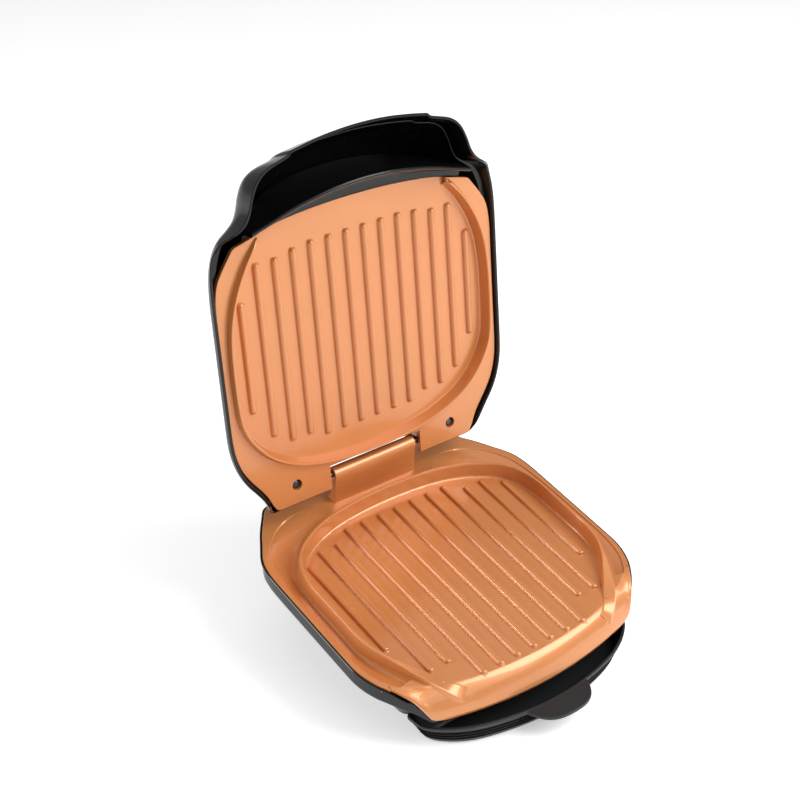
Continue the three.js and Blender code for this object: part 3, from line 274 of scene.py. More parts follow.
# Ramps in which the wall ends on the lip, in millimetres: outer crest, inner edge.
WALL_RAMP = [
    ((86.3, -26.2, 6.6), (84.7, -25.8, 6.6)), ((81.2, -37.4, 5.1), (79.2, -36.4, 5.1)),
    ((78.3, -43.5, 3.7), (74.9, -41.9, 3.8)), ((75.2, -50, 2.6), (70.6, -47.6, 2.5)),
    ((71.8, -56.5, 1.6), (66, -53.4, 0.8)), ((68.3, -62, 0.3), (61.8, -59, -1.5)),
    ((64.5, -66.3, -1.9), (57.8, -63.4, -2.4)), ((60.5, -69.8, -5), (54.6, -66.4, -2.9)),
    ((56.6, -72.2, -8.3), (52, -68.4, -3.4)), ((55.8, -72.8, -9.3), (51.2, -69, -4)),
]
# Banks of the gutters beside the wall, in millimetres: inner bank, outer bank, share of the depth.
TROUGH_BANKS = [
    (40, 80.6, 47, 91, 0.02), (46, 79.5, 55, 94.6, 0.35), (55, 76, 65, 93.4, 0.75), (65, 70.3, 77, 88, 1),
    (74, 63.5, 86.5, 79, 1), (82, 54, 93.5, 66, 1), (87.2, 43, 96, 50, 1), (88.9, 28, 97, 30, 1),
    (88.9, 0, 97.2, 0, 1), (88.9, -14, 97.2, -16, 1), (86.9, -26, 96.2, -29, 1), (82.6, -37, 93.4, -39.5, 1),
    (79.2, -44.5, 90, -45.5, 1), (76.8, -50, 85.6, -51.4, 1),
]
# Cross-section of a gutter: share of the way across, level under the flange.
TROUGH_PROFILE = [
    (-0.04, 5), (-0.02, 0), (0.02, -1.4), (0.07, -2.3), (0.14, -2.8), (0.24, -3), (0.36, -2.75), (0.5, -2.2),
    (0.66, -1.55), (0.82, -1.05), (0.93, -0.8), (0.955, -0.72), (0.985, -0.1), (1.02, 0), (1.03, 5),
]
# Middle line of the ramps: way forward, way from the middle. The lip rises beside it.
RAMP_MIDDLES = [
    (-78, 45), (-75.3, 46.8), (-70.5, 54), (-68.1, 57.6), (-64.9, 61.2), (-60.5, 65), (-57, 67.5), (-50, 72),
]
RAMP_BLEND = 3
# Section of the tongue: up its front face, then down its back face. The knuckle lies between the two.
TONGUE_FRONT = [
    (87.8, -4.4), (87.8, -1), (88.7, -0.75), (89.35, 0.1), (89.75, 1.3), (90.1, 5), (90.6, 12),
]
TONGUE_BACK = [
    (95.3, 13.3), (94.8, 11.5), (94.8, 5), (95.2, 1.5), (96, 0), (97.2, -0.75), (98.4, -1), (98.4, -4.4),
]
# Rounding of the tongue's ends: way in from the end, how much the section shrinks.
TONGUE_ENDS = ((0, 0.5), (0.15, 0.15), (0.5, 0))
# Ridge round the lid's cooking area: width share, depth share, share of the height.
RIDGE_PATH = [
    (0, -1, 1), (0.267, -0.988, 1), (0.48, -0.945, 1), (0.661, -0.871, 1), (0.81, -0.761, 1),
    (0.917, -0.613, 1), (0.981, -0.466, 1), (1, -0.294, 1), (1, 0.143, 1), (0.975, 0.429, 1),
    (0.917, 0.657, 1), (0.832, 0.857, 0.9), (0.768, 0.96, 0.75), (0.738, 1.005, 0.5), (0.715, 1.03, 0.12),
]
# Outline of the lid plate: width share, depth share.
LID_PLATE_OUTLINE = [
    (0, -1), (0.7, -1), (0.748, -1), (0.778, -0.95), (0.808, -0.88), (0.848, -0.82), (0.909, -0.74),
    (0.96, -0.65), (0.99, -0.55), (1, -0.45), (1, -0.25), (1, 0.3), (1, 0.497), (0.98, 0.646),
    (0.929, 0.745), (0.874, 0.832), (0.848, 0.876), (0.8, 0.89), (0.606, 0.95), (0.404, 0.979),
    (0.202, 0.996), (0, 1),
]

# Rim of the lid shell: width share, depth share, rise, hood side, hood front, pinch.
LID_RIM = [
    (0, -1, -0.63, 0, 0, 0), (0.7, -1, -0.63, 0, 0, 0), (0.756, -1, -0.63, 0, 0, 0),
    (0.785, -0.934, -0.15, 0, 0, 0), (0.815, -0.871, 0, 0, 0, 0), (0.859, -0.807, 0, 0, 0, 0),
    (0.918, -0.73, 0, 0, 0, 0), (0.962, -0.642, 0, 0, 0, 0), (0.991, -0.535, 0, 0, 0, 0),
    (1, -0.438, 0, 0, 0, 0), (1, -0.25, 0, 0, 0, 0.001), (1, 0.2, 0, 0, 0, 0.006),
    (1, 0.357, 0, 0, 0, 0.01), (0.994, 0.476, 0, 0, 0, 0.04), (0.97, 0.563, 0.03, 0, 0, 0.08),
    (0.93, 0.621, 0.4, 0.3, 0, 0.08), (0.868, 0.651, 0.9, 0.8, 0, 0.05), (0.805, 0.683, 1, 1, 0, 0.02),
    (0.765, 0.73, 1, 1, 0, 0), (0.741, 0.794, 1, 1, 0, 0), (0.697, 0.865, 1, 0.85, 0.15, 0),
    (0.628, 0.909, 1, 0.6, 0.4, 0), (0.52, 0.933, 1, 0.38, 0.62, 0), (0.491, 0.94, 1, 0.35, 0.65, 0),
    (0.483, 0.942, 1, 0.32, 0.68, 0), (0.465, 0.957, 1, 0.2, 0.8, 0), (0.451, 0.96, 1, 0.2, 0.8, 0),
    (0.43, 0.963, 1, 0.18, 0.82, 0), (0.343, 0.976, 1, 0.1, 0.9, 0), (0.177, 0.994, 1, 0, 1, 0),
    (0, 1, 1, 0, 1, 0),
]
# Rings of the lid shell: depth share, then inset at the sides, the hood's sides and its front.
LID_OUTER_RINGS = [
    (1, 1, 0.933, 1), (0.89, 0.567, 0.5, 0.55), (0.696, 0.267, 0.292, 0.29), (0.475, 0.15, 0.167, 0.2),
    (0.31, 0.077, 0.077, 0.145), (0.13, 0.003, 0.037, 0.09),
]
LID_INNER_RINGS = [
    (0.1365, 0.043, 0.075, 0.13), (0.138, 0.098, 0.08, 0.135), (0.199, 0.1, 0.09, 0.155),
    (0.315, 0.12, 0.12, 0.19), (0.431, 0.192, 0.208, 0.24), (0.635, 0.305, 0.33, 0.325),
    (0.829, 0.6, 0.533, 0.583), (0.934, 1.017, 0.95, 1.017),
]

# Stations of the baffle: width share, edge share, crest share, leg share.
BAFFLE_STATIONS = [
    (0, 1, 1, 1), (0.31, 0.991, 0.985, 0.99), (0.62, 0.965, 0.94, 0.92),
    (0.82, 0.933, 0.893, 0.45), (0.93, 0.908, 0.868, 0.15), (1, 0.892, 0.852, 0.1),
]

# Plan of the drip tray: width share, depth share towards the front, share of the taper.
TRAY_OUTLINE = [
    (0, 1, 0.55), (0.3, 0.974, 0.55), (0.6, 0.912, 0.55), (0.78, 0.84, 0.6), (0.92, 0.75, 0.75),
    (0.985, 0.68, 0.9), (1, 0.62, 1),
]
# Steps down the wall of the tray, as shares of its depth.
TRAY_STEPS = (0.1, 0.4, 0.58, 0.76)

# Ends of the ribs from the middle outwards, as shares of the longest reach.
LOWER_RIB_FRONTS = (1, 1, 1, 1, 0.751, 0.751, 0.377)
LOWER_RIB_BACKS = (1, 1, 1, 1, 0.881, 0.881, 0.767)
LID_RIB_FRONTS = (0.96, 0.96, 0.96, 0.938, 0.9, 0.9, 0.583)
LID_RIB_BACKS = (1, 1, 1, 0.931, 0.931, 0.818, 0.517)

# Cross-sections of a rib: distance from its middle line, share of its height.
LID_RIB_PROFILE = [
    (0, 1), (0.6, 0.98), (1.1, 0.91), (1.5, 0.79), (1.85, 0.63), (2.15, 0.44), (2.4, 0.24), (2.6, 0.1),
    (2.85, 0.02), (3.3, 0),
]
LOWER_RIB_PROFILE = [
    (0, 1), (1, 1), (1.4, 0.98), (1.7, 0.92), (1.95, 0.8), (2.12, 0.62), (2.25, 0.4), (2.38, 0.2),
    (2.55, 0.06), (2.9, 0.01), (3.3, 0),
]
RIB_NOSE = 2.5
# Grid of a cooking floor. In front of the edge zone's start its rows bend along the lip.
FLOOR_ROWS = 24
COLUMN_GAP = 0.12
ROW_GAP = 0.2
EDGE_ZONE = -40
EDGE_ROW_STEP = 0.4

# Lights: name, place and width in metres. All but the key light are square.
LIGHTS = (
    ("key", (0.75, -0.73, 1.05), 0.9), ("top", (0.1, 0.2, 1.5), 1.4), ("side", (-1.35, 0.75, 0.62), 0.6),
    ("front", (0.5, -1.7, 0.9), 1),
)
LIGHT_AIM = (0, 0, 0.12)
FLOOR_HALF_SIZE = 4

# Camera at the photograph's viewing angle
VIEW_FORWARD = (0.51723, 0.68183, -0.51728)
VIEW_RIGHT = (0.79670, -0.60437, 0)
VIEW_PLACE = (-0.47220, -0.57841, 0.61219)
VIEW_LENS = 68.983


def length(name, description, default, low, high):
    """A setting in metres."""
    return FloatProperty(
        name=name, description=description, default=default, min=low, max=high, unit="LENGTH")


def factor(name, description, default, high=1):
    """A setting that starts at 0."""
    return FloatProperty(
        name=name, description=description, default=default, min=0, max=high, subtype="FACTOR")


def power(name, description, default):
    """A setting in watts."""
    return FloatProperty(name=name, description=description, default=default, min=0, unit="POWER")


def colour(name, description, *default):
    """A colour setting, with its red, green and blue."""
    return FloatVectorProperty(
        name=name, description=description, default=(*default, 1), size=4, min=0, max=1, subtype="COLOR")


class GrillSizes(bpy.types.PropertyGroup):
    """Sizes of the finished surfaces that can be changed without touching the solids."""

    lid_rib_height: length(
        "Lid rib height", "Height of the ribs above the lid plate's floor", 0.0025, 0.001, 0.003)
    lower_rib_height: length(
        "Lower rib height", "Height of the ribs above the lower plate's floor", 0.0019, 0.001, 0.003)
    crest_rounding: length(
        "Crest rounding", "Rounding of the crest of the plate walls", 0.0008, 0.0002, 0.0012)
    grain: length("Grain size", "Size of the grain moulded into the satin plastic", 0.0006, 0.0001, 0.005)


class GrillColours(bpy.types.PropertyGroup):
    """Colours and finishes of the grill."""

    copper: colour("Copper", "Colour of the non-stick coating", 0.65, 0.245, 0.075)
    copper_deep: colour("Deep copper", "Darker tone of the coating", 0.58, 0.205, 0.056)
    gloss: colour("Gloss black", "Colour of the lid and base shells", 0.003, 0.0032, 0.0036)
    satin: colour("Satin black", "Colour of the drip tray and base cover", 0.012, 0.0126, 0.0135)
    rubber: colour("Rubber", "Colour of the feet and the cord inlet", 0.018, 0.018, 0.018)
    # The steel colour is kept dark as painted shade: it stands in for the shade in the lid screws' recesses
    # and round the pin's end in the hinge slot.
    steel: colour("Steel", "Colour of the pin, screws and heaters", 0.11, 0.11, 0.115)
    sheet: colour("Aluminium", "Colour of the reflectors and the fuse", 0.75, 0.75, 0.76)
    ceramic: colour("Ceramic", "Colour of the controls' bodies", 0.78, 0.74, 0.66)
    amber: colour("Amber", "Colour of the indicator lens", 0.85, 0.2, 0.03)
    floor: colour("Floor", "Colour of the studio floor", 0.93, 0.93, 0.93)
    gloss_roughness: factor("Gloss roughness", "Roughness of the shells", 0.16)
    copper_roughness: factor("Coating roughness", "Roughness of the non-stick coating", 0.38)


class GrillStudio(bpy.types.PropertyGroup):
    """Lights of the studio."""

    key_power: power("Key light", "Power of the softbox to the right of the camera", 20)
    key_height: length("Key height", "Height of that softbox's face", 1.1, 0.1, 3)
    top_power: power("Top light", "Power of the broad light overhead", 3)
    side_power: power("Side light", "Power of the light at the back left", 15)
    front_power: power("Front light", "Power of the light behind the camera", 4.5)
    sky: factor("Surroundings", "Brightness of the white surroundings", 0.3, 2)
    floor_glow: factor("Floor glow", "Light that the pale floor lets through from below", 0.4)


def mix(a, b, share):
    """A value between two others, or past them."""
    return a + (b - a) * share


def smooth(share):
    """A share from 0 to 1 that starts and ends softly."""
    share = max(min(share, 1), 0)
    return share * share * (3 - 2 * share)


def read_off(curve, place):
    """Value of a curve, a sorted list of (place, value), at a place."""
    for (start, low), (end, high) in zip(curve, curve[1:]):
        if place <= end:
            return mix(low, high, max(place - start, 0) / (end - start))
    return curve[-1][1]


def mixed(row, other, share):
    """A row of values between two others."""
    return tuple(mix(a, b, share) for a, b in zip(row, other))


def eased(rows, times=2, closed=False):
    """A row of points with its corners cut, again and again, into a smooth curve."""
    rows = [tuple(row) for row in rows]
    for _ in range(times):
        spans = len(rows) if closed else len(rows) - 1
        fresh = [] if closed else [rows[0]]
        for i in range(spans):
            ahead = rows[(i + 1) % len(rows)]
            fresh += [mixed(rows[i], ahead, 0.25), mixed(rows[i], ahead, 0.75)]
        rows = fresh if closed else [*fresh, rows[-1]]
    return rows


def eased_rings(rings):
    """Closed rings with their corners cut."""
    return [eased(ring, closed=True) for ring in rings]


def eased_across(rings, times):
    """Rings with their corners cut from one ring to the next."""
    columns = [eased(column, times) for column in zip(*rings)]
    return [list(ring) for ring in zip(*columns)]


def sized(table, half_width, back, front):
    """A table of shares with its first two columns in millimetres."""
    return [(x * half_width, y * (back if y > 0 else front), *rest) for x, y, *rest in table]


def mirrored(half):
    """The closed outline of a half that starts and ends on the middle line."""
    return [*half, *[(-x, *rest) for x, *rest in reversed(half) if x > 0]]


def whole_path(half):
    """The open path from the left end to the right end of a half that starts on the middle line."""
    return [*[(-x, *rest) for x, *rest in reversed(half) if x > 0], *half]


def area(outline):
    """Area of an outline, over 0 where it runs against the clock."""
    return sum(a[0] * b[1] - b[0] * a[1] for a, b in zip(outline, [*outline[1:], outline[0]])) / 2


def grown(outline, distances):
    """Points moved square to their outline, outwards where the distance is over 0."""
    turn = 1 if area(outline) > 0 else -1
    count = len(outline)
    if not hasattr(distances, "__len__"):
        distances = [distances] * count
    moved = []
    for i, (x, y, *rest) in enumerate(outline):
        before, after = outline[i - 1], outline[(i + 1) % count]
        into = Vector((x - before[0], y - before[1])).normalized()
        out = Vector((after[0] - x, after[1] - y)).normalized()
        normal = Vector((into.y + out.y, -into.x - out.x)).normalized()
        stretch = 1 / max(normal.x * into.y - normal.y * into.x, 0.7)
        step = normal * distances[i] * turn * stretch
        moved.append((x + step.x, y + step.y, *rest))
    return moved


def headings(path):
    """The points of an open path, each with the way the path runs there."""
    for before, point, after in zip([path[0], *path], path, [*path[1:], path[-1]]):
        yield point, Vector((after[0] - before[0], after[1] - before[1])).normalized()


def beside(path, distance):
    """Points of an open path moved to its left."""
    return [(point[0] - way.y * distance, point[1] + way.x * distance) for point, way in headings(path)]


def at(points, level):
    """Points of a plan, set at a level."""
    return [(point[0], point[1], level) for point in points]


def solid(points, faces):
    """A closed body, its faces turned outwards, as an object that is still in millimetres."""
    shape = bpy.data.meshes.new("body")
    shape.from_pydata([tuple(point) for point in points], [], faces)
    editor = bmesh.new()
    editor.from_mesh(shape)
    bmesh.ops.recalc_face_normals(editor, faces=editor.faces)
    editor.to_mesh(shape)
    editor.free()
    body = bpy.data.objects.new("body", shape)
    bpy.context.scene.collection.objects.link(body)
    return body


def lofted(rings, closes=False):
    """A body through rings of equal length. It is capped, or its last ring joins its first."""
    count = len(rings[0])
    faces = []
    for k in range(len(rings) if closes else len(rings) - 1):
        here, there = k * count, (k + 1) % len(rings) * count
        for i in range(count):
            j = (i + 1) % count
            faces.append((here + i, here + j, there + j, there + i))
    if not closes:
        end = (len(rings) - 1) * count
        faces += [tuple(reversed(range(count))), tuple(range(end, end + count))]
    return solid([point for ring in rings for point in ring], faces)


def raised(outline, low, high):
    """A body that stands on a plan, between two levels."""
    return lofted([at(outline, low), at(outline, high)])


def ribbon(path, section):
    """A strip along a path of (x, y, ...), with a cross-section of (outward offset, level)."""
    return lofted([
        [(point[0] - way.y * offset, point[1] + way.x * offset, level)
         for offset, level in section(*point[2:])]
        for point, way in headings(path)])


def bar(radius, start, end, sides=ROUND_SIDES):
    """A round bar between two points."""
    start, end = Vector(start), Vector(end)
    turn = (end - start).to_track_quat("Z", "Y").to_matrix()
    angles = [2 * math.pi * k / sides for k in range(sides)]
    spokes = [turn @ Vector((radius * math.cos(angle), radius * math.sin(angle), 0)) for angle in angles]
    return lofted([[tuple(place + spoke) for spoke in spokes] for place in (start, end)])


def upright(radius, x, y, low, high, sides=ROUND_SIDES):
    """A round bar that stands on end."""
    return bar(radius, (x, y, low), (x, y, high), sides)


def block(corner, opposite):
    """A box between two opposite corners."""
    low, high = zip(*[sorted(ends) for ends in zip(corner, opposite)])
    return raised([low[:2], (high[0], low[1]), high[:2], (low[0], high[1])], low[2], high[2])


def combined(operation, body, *others):
    """A body joined with, cut by or kept inside others, which are used up."""
    for other in others:
        step = body.modifiers.new(operation, "BOOLEAN")
        step.operation = operation
        step.solver = "MANIFOLD"
        step.object = other
    evaluated = body.evaluated_get(bpy.context.evaluated_depsgraph_get())
    shape = bpy.data.meshes.new_from_object(evaluated)
    if len(shape.polygons) == 0:
        raise RuntimeError("a joined body came out empty")
    body.modifiers.clear()
    body.data = shape
    for other in others:
        bpy.data.objects.remove(other)
    return body


def joined(body, *others):
    """A body with others grown onto it."""
    return combined("UNION", body, *others)


def cut(body, *others):
    """A body with others taken out of it."""
    return combined("DIFFERENCE", body, *others)


def kept(body, *others):
    """What a body shares with others."""
    return combined("INTERSECT", body, *others)


def table_place():
    """The table frame in the row's frame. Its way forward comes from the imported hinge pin."""
    low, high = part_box("hinge_pin")
    pin_back = (low.y + high.y) / 2 / MILLIMETRE
    forward = pin_back - HINGE_BACK * math.cos(DECK_TILT) + HINGE_HEIGHT * math.sin(DECK_TILT)
    return Matrix.Scale(MILLIMETRE, 4) @ Matrix.Translation((0, forward, 0))


def deck_place():
    """The deck frame in the row's frame."""
    return table_place() @ Matrix.Translation((0, 0, DECK_HEIGHT)) @ Matrix.Rotation(DECK_TILT, 4, "X")


def lid_place():
    """The lid frame in the row's frame."""
    lean_y = HINGE_IN_LID_BACK * math.cos(LID_LEAN) - HINGE_IN_LID_LEVEL * math.sin(LID_LEAN)
    lean_z = HINGE_IN_LID_BACK * math.sin(LID_LEAN) + HINGE_IN_LID_LEVEL * math.cos(LID_LEAN)
    corner = Matrix.Translation((0, HINGE_BACK - lean_y, HINGE_HEIGHT - lean_z))
    return deck_place() @ corner @ Matrix.Rotation(LID_LEAN, 4, "X")


def dressed(body, name, place, rider, nodes, slot):
    """Sets a finished body into the row's frame, in metres, in place of its solids."""
    body.name = name
    body.data.name = name
    body.data.transform(place)
    body.data.shade_smooth()
    body.data.set_sharp_from_angle(angle=SHARP_ANGLE)
    even = body.modifiers.new("even_shading", "WEIGHTED_NORMAL")
    even.keep_sharp = True
    body.data.materials.clear()
    body.data.materials.append(material(slot))
    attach(body, rider)
    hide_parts(*nodes)


class Wire:
    """A shader value. Python's operators on it add the Math nodes they stand for."""

    def __init__(self, graph, socket):
        self.graph = graph
        self.socket = socket

    def _math(self, operation, first, second):
        return self.graph.node("ShaderNodeMath", {"operation": operation}, {0: first, 1: second})

    def __add__(self, other):
        return self._math("ADD", self, other)

    def __radd__(self, other):
        return self._math("ADD", other, self)

    def __sub__(self, other):
        return self._math("SUBTRACT", self, other)

    def __rsub__(self, other):
        return self._math("SUBTRACT", other, self)

    def __mul__(self, other):
        return self._math("MULTIPLY", self, other)

    def __rmul__(self, other):
        return self._math("MULTIPLY", other, self)


class Finish:
    """A material under construction, with one way to add any node."""

    def __init__(self, name, **constants):
        self.material = bpy.data.materials.new(FINISH_MARK + name)
        self.material.use_nodes = True
        self.tree = self.material.node_tree
        self.shader = next(n for n in self.tree.nodes if n.type == "BSDF_PRINCIPLED")
        self.feed(**constants)

    def node(self, kind, settings, sockets, output=0):
        """Adds a node from its type, its settings and the values or links of its sockets."""
        made = self.tree.nodes.new(kind)
        for key, value in settings.items():
            setattr(made, key, value)
        for key, value in sockets.items():
            self._feed(made.inputs[key], value)
        return Wire(self, made.outputs[output])

    def _feed(self, socket, value):
        if isinstance(value, Wire):
            self.tree.links.new(value.socket, socket)
        else:
            socket.default_value = value

    def feed(self, **sockets):
        """Sets or links the shader's own sockets by their names."""
        for name, value in sockets.items():
            self._feed(self.shader.inputs[name.replace("_", " ").title().replace("Ior", "IOR")], value)

    def noise(self, scale, detail, stretch=(1, 1, 1), roughness=0.5):
        """Noise that is fixed to the piece."""
        where = self.node("ShaderNodeTexCoord", {}, {}, OBJECT_OUTPUT)
        place = self.node("ShaderNodeMapping", {}, {"Vector": where, "Scale": stretch})
        return self.node("ShaderNodeTexNoise", {}, {
            "Vector": place, "Scale": scale, "Detail": detail, "Roughness": roughness})

    def blend(self, factor, first, second):
        """A colour between two others."""
        return self.node("ShaderNodeMix", {"data_type": "RGBA"}, {0: factor, 6: first, 7: second}, 2)

    def shades(self, pattern, colour, times):
        """A colour that a pattern mixes with a tone so many times as bright, the dark one first."""
        tone = [*[min(value * times, 1) for value in colour[:3]], 1]
        return self.blend(pattern, *((colour[:], tone) if times > 1 else (tone, colour[:])))

    def bumped(self, height, strength, depth):
        """The finished material, with a relief."""
        sockets = {"Strength": strength, "Distance": depth, "Height": height}
        self.feed(normal=self.node("ShaderNodeBump", {}, sockets))
        return self.material


def copper_coating(scene):
    """Sprayed copper-coloured non-stick: a satin metallic coat with faint clouds and a fine grain."""
    colours = scene.grill_colours
    finish = Finish("copper_nonstick", metallic=0.35, coat_weight=0.75, coat_roughness=0.09)
    clouds = finish.noise(38, 4)
    flakes = finish.noise(1900, 2)
    tone = finish.blend(clouds * 0.8 + flakes * 0.35, colours.copper_deep[:], colours.copper[:])
    rough = colours.copper_roughness - 0.05 + clouds * 0.07 + flakes * 0.05
    finish.feed(base_color=tone, roughness=rough)
    return finish.bumped(flakes + finish.noise(420, 2) * 0.6, 0.12, 0.00004)


def gloss_plastic(scene):
    """Moulded gloss black: deep, with a faint waviness and a little handling haze."""
    colours = scene.grill_colours
    finish = Finish("gloss_black", ior=1.45, specular_ior_level=0.36)
    haze = finish.noise(26, 5, roughness=0.6)
    speck = finish.noise(900, 2)
    rough = colours.gloss_roughness - 0.03 + haze * 0.05 + speck * 0.015
    finish.feed(base_color=finish.shades(haze, colours.gloss, 1.5), roughness=rough)
    return finish.bumped(finish.noise(14, 1) + speck * 0.01, 0.08, 0.0004)


def satin_plastic(scene):
    """Spark-eroded satin black with a fine moulded grain."""
    finish = Finish("satin_black", ior=1.48, specular_ior_level=0.36)
    grain = finish.noise(1 / scene.grill_sizes.grain, 2)
    haze = finish.noise(30, 4)
    tone = finish.shades(haze, scene.grill_colours.satin, 1.6)
    finish.feed(base_color=tone, roughness=0.36 + grain * 0.1 + haze * 0.04)
    return finish.bumped(grain, 0.25, 0.00006)


def rubber(scene):
    """Moulded rubber, matte and slightly dusty."""
    finish = Finish("rubber_black", ior=1.5)
    dust = finish.noise(60, 5, roughness=0.7)
    tone = finish.shades(dust, scene.grill_colours.rubber, 2.2)
    finish.feed(base_color=tone, roughness=0.7 + dust * 0.2)
    return finish.bumped(finish.noise(1500, 2), 0.3, 0.00005)


def drawn_steel(scene):
    """Drawn steel with fine lines along the width. Its colour is kept dark as painted shade for the recessed
    lid screws and the pin's end in the hinge slot.
    """
    finish = Finish("steel", metallic=1)
    lines = finish.noise(260, 4, stretch=(0.15, 6, 6))
    tone = finish.shades(lines, scene.grill_colours.steel, 0.72)
    finish.feed(base_color=tone, roughness=0.24 + lines * 0.18)
    return finish.bumped(lines, 0.2, 0.00003)


def rolled_sheet(scene):
    """Rolled aluminium sheet with streaks along its length."""
    finish = Finish("aluminium_sheet", metallic=1)
    streaks = finish.noise(120, 5, stretch=(6, 0.2, 6))
    tone = finish.shades(streaks, scene.grill_colours.sheet, 0.8)
    finish.feed(base_color=tone, roughness=0.34 + streaks * 0.16)
    return finish.bumped(streaks, 0.15, 0.00003)


def fired_ceramic(scene):
    """Unglazed fired ceramic, slightly mottled."""
    finish = Finish("ceramic_white", ior=1.5)
    mottle = finish.noise(160, 5, roughness=0.65)
    tone = finish.shades(mottle, scene.grill_colours.ceramic, 0.82)
    finish.feed(base_color=tone, roughness=0.5 + mottle * 0.25)
    return finish.bumped(mottle, 0.3, 0.00008)


def amber_lens(scene):
    """Polished amber lens with a faint clouded core."""
    finish = Finish("amber_lens", ior=1.49, coat_weight=0.6, coat_roughness=0.03)
    cloud = finish.noise(300, 3)
    tone = finish.shades(cloud, scene.grill_colours.amber, 0.55)
    finish.feed(base_color=tone, roughness=0.08 + cloud * 0.05)
    return finish.bumped(finish.noise(500, 1), 0.1, 0.00005)


def studio_floor(scene):
    """Plain pale studio floor, lit a little from below."""
    glow = scene.grill_studio.floor_glow
    colour = scene.grill_colours.floor
    finish = Finish("studio_floor", emission_color=(1, 1, 1, 1), emission_strength=glow)
    tone = finish.blend(finish.noise(0.8, 2), colour[:], [1 - (1 - value) * 0.9 for value in colour])
    finish.feed(base_color=tone, roughness=0.6 + finish.noise(40, 2) * 0.1)
    return finish.material


FINISHES = {
    "copper_nonstick": copper_coating, "gloss_black": gloss_plastic, "satin_black": satin_plastic,
    "rubber_black": rubber, "steel": drawn_steel, "aluminium_sheet": rolled_sheet,
    "ceramic_white": fired_ceramic, "amber_lens": amber_lens, "studio_floor": studio_floor,
}


def material(name):
    """A finish by its slot name, made once."""
    return bpy.data.materials.get(FINISH_MARK + name) or FINISHES[name](bpy.context.scene)


def rib_lines(span, count, reach, fronts, backs, front_sign):
    """Ribs as (x, lowest y, highest y), from left to right."""
    ribs = []
    for i in range(count):
        side = i - (count - 1) / 2
        place = int(abs(side))
        front, back = fronts[place] * reach, backs[place] * reach
        low, high = (-front, back) if front_sign < 0 else (-back, front)
        ribs.append((side * span / (count - 1), low, high))
    return ribs


def merged(values, least):
    """Sorted values without those closer together than the least gap."""
    result = []
    for value in sorted(values):
        if not result or value - result[-1] >= least:
            result.append(value)
    return result


def rib_floor(ribs, profile, half_width, low, high, crown, edge=None, fall=None):
    """The cooking floor with its ribs, on a grid that follows the ribs' sides and ends.

    With an edge, a curve of (x, y), the grid's front rows bend along it and go down by the fall."""
    xs = {-half_width, half_width}
    rows = {low, high}
    for x, start, end in ribs:
        for offset, _ in profile:
            xs.update((x - offset, x + offset))
            rows.update((start + RIB_NOSE - offset, end - RIB_NOSE + offset))
    rows.update(mix(low, high, k / FLOOR_ROWS) for k in range(FLOOR_ROWS + 1))
    if edge:
        rows.update(EDGE_ZONE - EDGE_ROW_STEP * k for k in range(int((EDGE_ZONE - low) / EDGE_ROW_STEP)))
    xs = merged((x for x in xs if abs(x) <= half_width), COLUMN_GAP)
    rows = merged((row for row in rows if low <= row <= high), ROW_GAP)
    deepest = edge[0][1] if edge else 0
    grid = []
    for row in rows:
        for x in xs:
            y, past_edge = row, 0
            if edge and row < EDGE_ZONE:
                here = read_off(edge, abs(x))
                y = EDGE_ZONE + (max(row, deepest) - EDGE_ZONE) * (here - EDGE_ZONE) / (deepest - EDGE_ZONE)
                past_edge = max(deepest - row, 0)
                y -= past_edge
            level = FLOOR_LEVEL + HAIR - (fall(past_edge) if past_edge > 0 else 0)
            rib, start, end = min(ribs, key=lambda line: abs(line[0] - x))
            past = max(y - (end - RIB_NOSE), start + RIB_NOSE - y, 0)
            share = read_off(profile, math.hypot(x - rib, past))
            if share > 0:
                level = max(level, mix(FLOOR_LEVEL - FLOOR_ROOT, FLOOR_LEVEL + crown, share))
            grid.append((x, y, level))
    columns, count = len(xs), len(rows)
    faces = []
    for j in range(count - 1):
        for i in range(columns - 1):
            a = j * columns + i
            faces.append((a, a + 1, a + columns + 1, a + columns))
    rim = [*range(columns), *[j * columns + columns - 1 for j in range(1, count)],
           *[(count - 1) * columns + i for i in range(columns - 2, -1, -1)],
           *[j * columns for j in range(count - 2, 0, -1)]]
    under = len(grid)
    grid += [(grid[k][0], grid[k][1], DECK_UNDERSIDE + FLOOR_ROOT_CLEAR) for k in rim]
    for k in range(len(rim)):
        following = (k + 1) % len(rim)
        faces.append((rim[k], rim[following], under + following, under + k))
    faces.append(tuple(under + k for k in reversed(range(len(rim)))))
    return solid(grid, faces)


def plate_slab(outline, inner, bottom, top, thickness):
    """A flat plate with a rounded upper edge and a narrower underside."""
    near, full = EDGE_ROUNDING * 0.3, EDGE_ROUNDING
    return lofted(eased_rings([
        at(inner, bottom), at(inner, top - thickness), at(outline, top - thickness), at(outline, top - full),
        at(grown(outline, -near), top - near), at(grown(outline, -full), top),
    ]))


def lip_drop(reach):
    """How far the lip has gone down, as a share, at a share of the way across it."""
    return reach ** LIP_CURVE


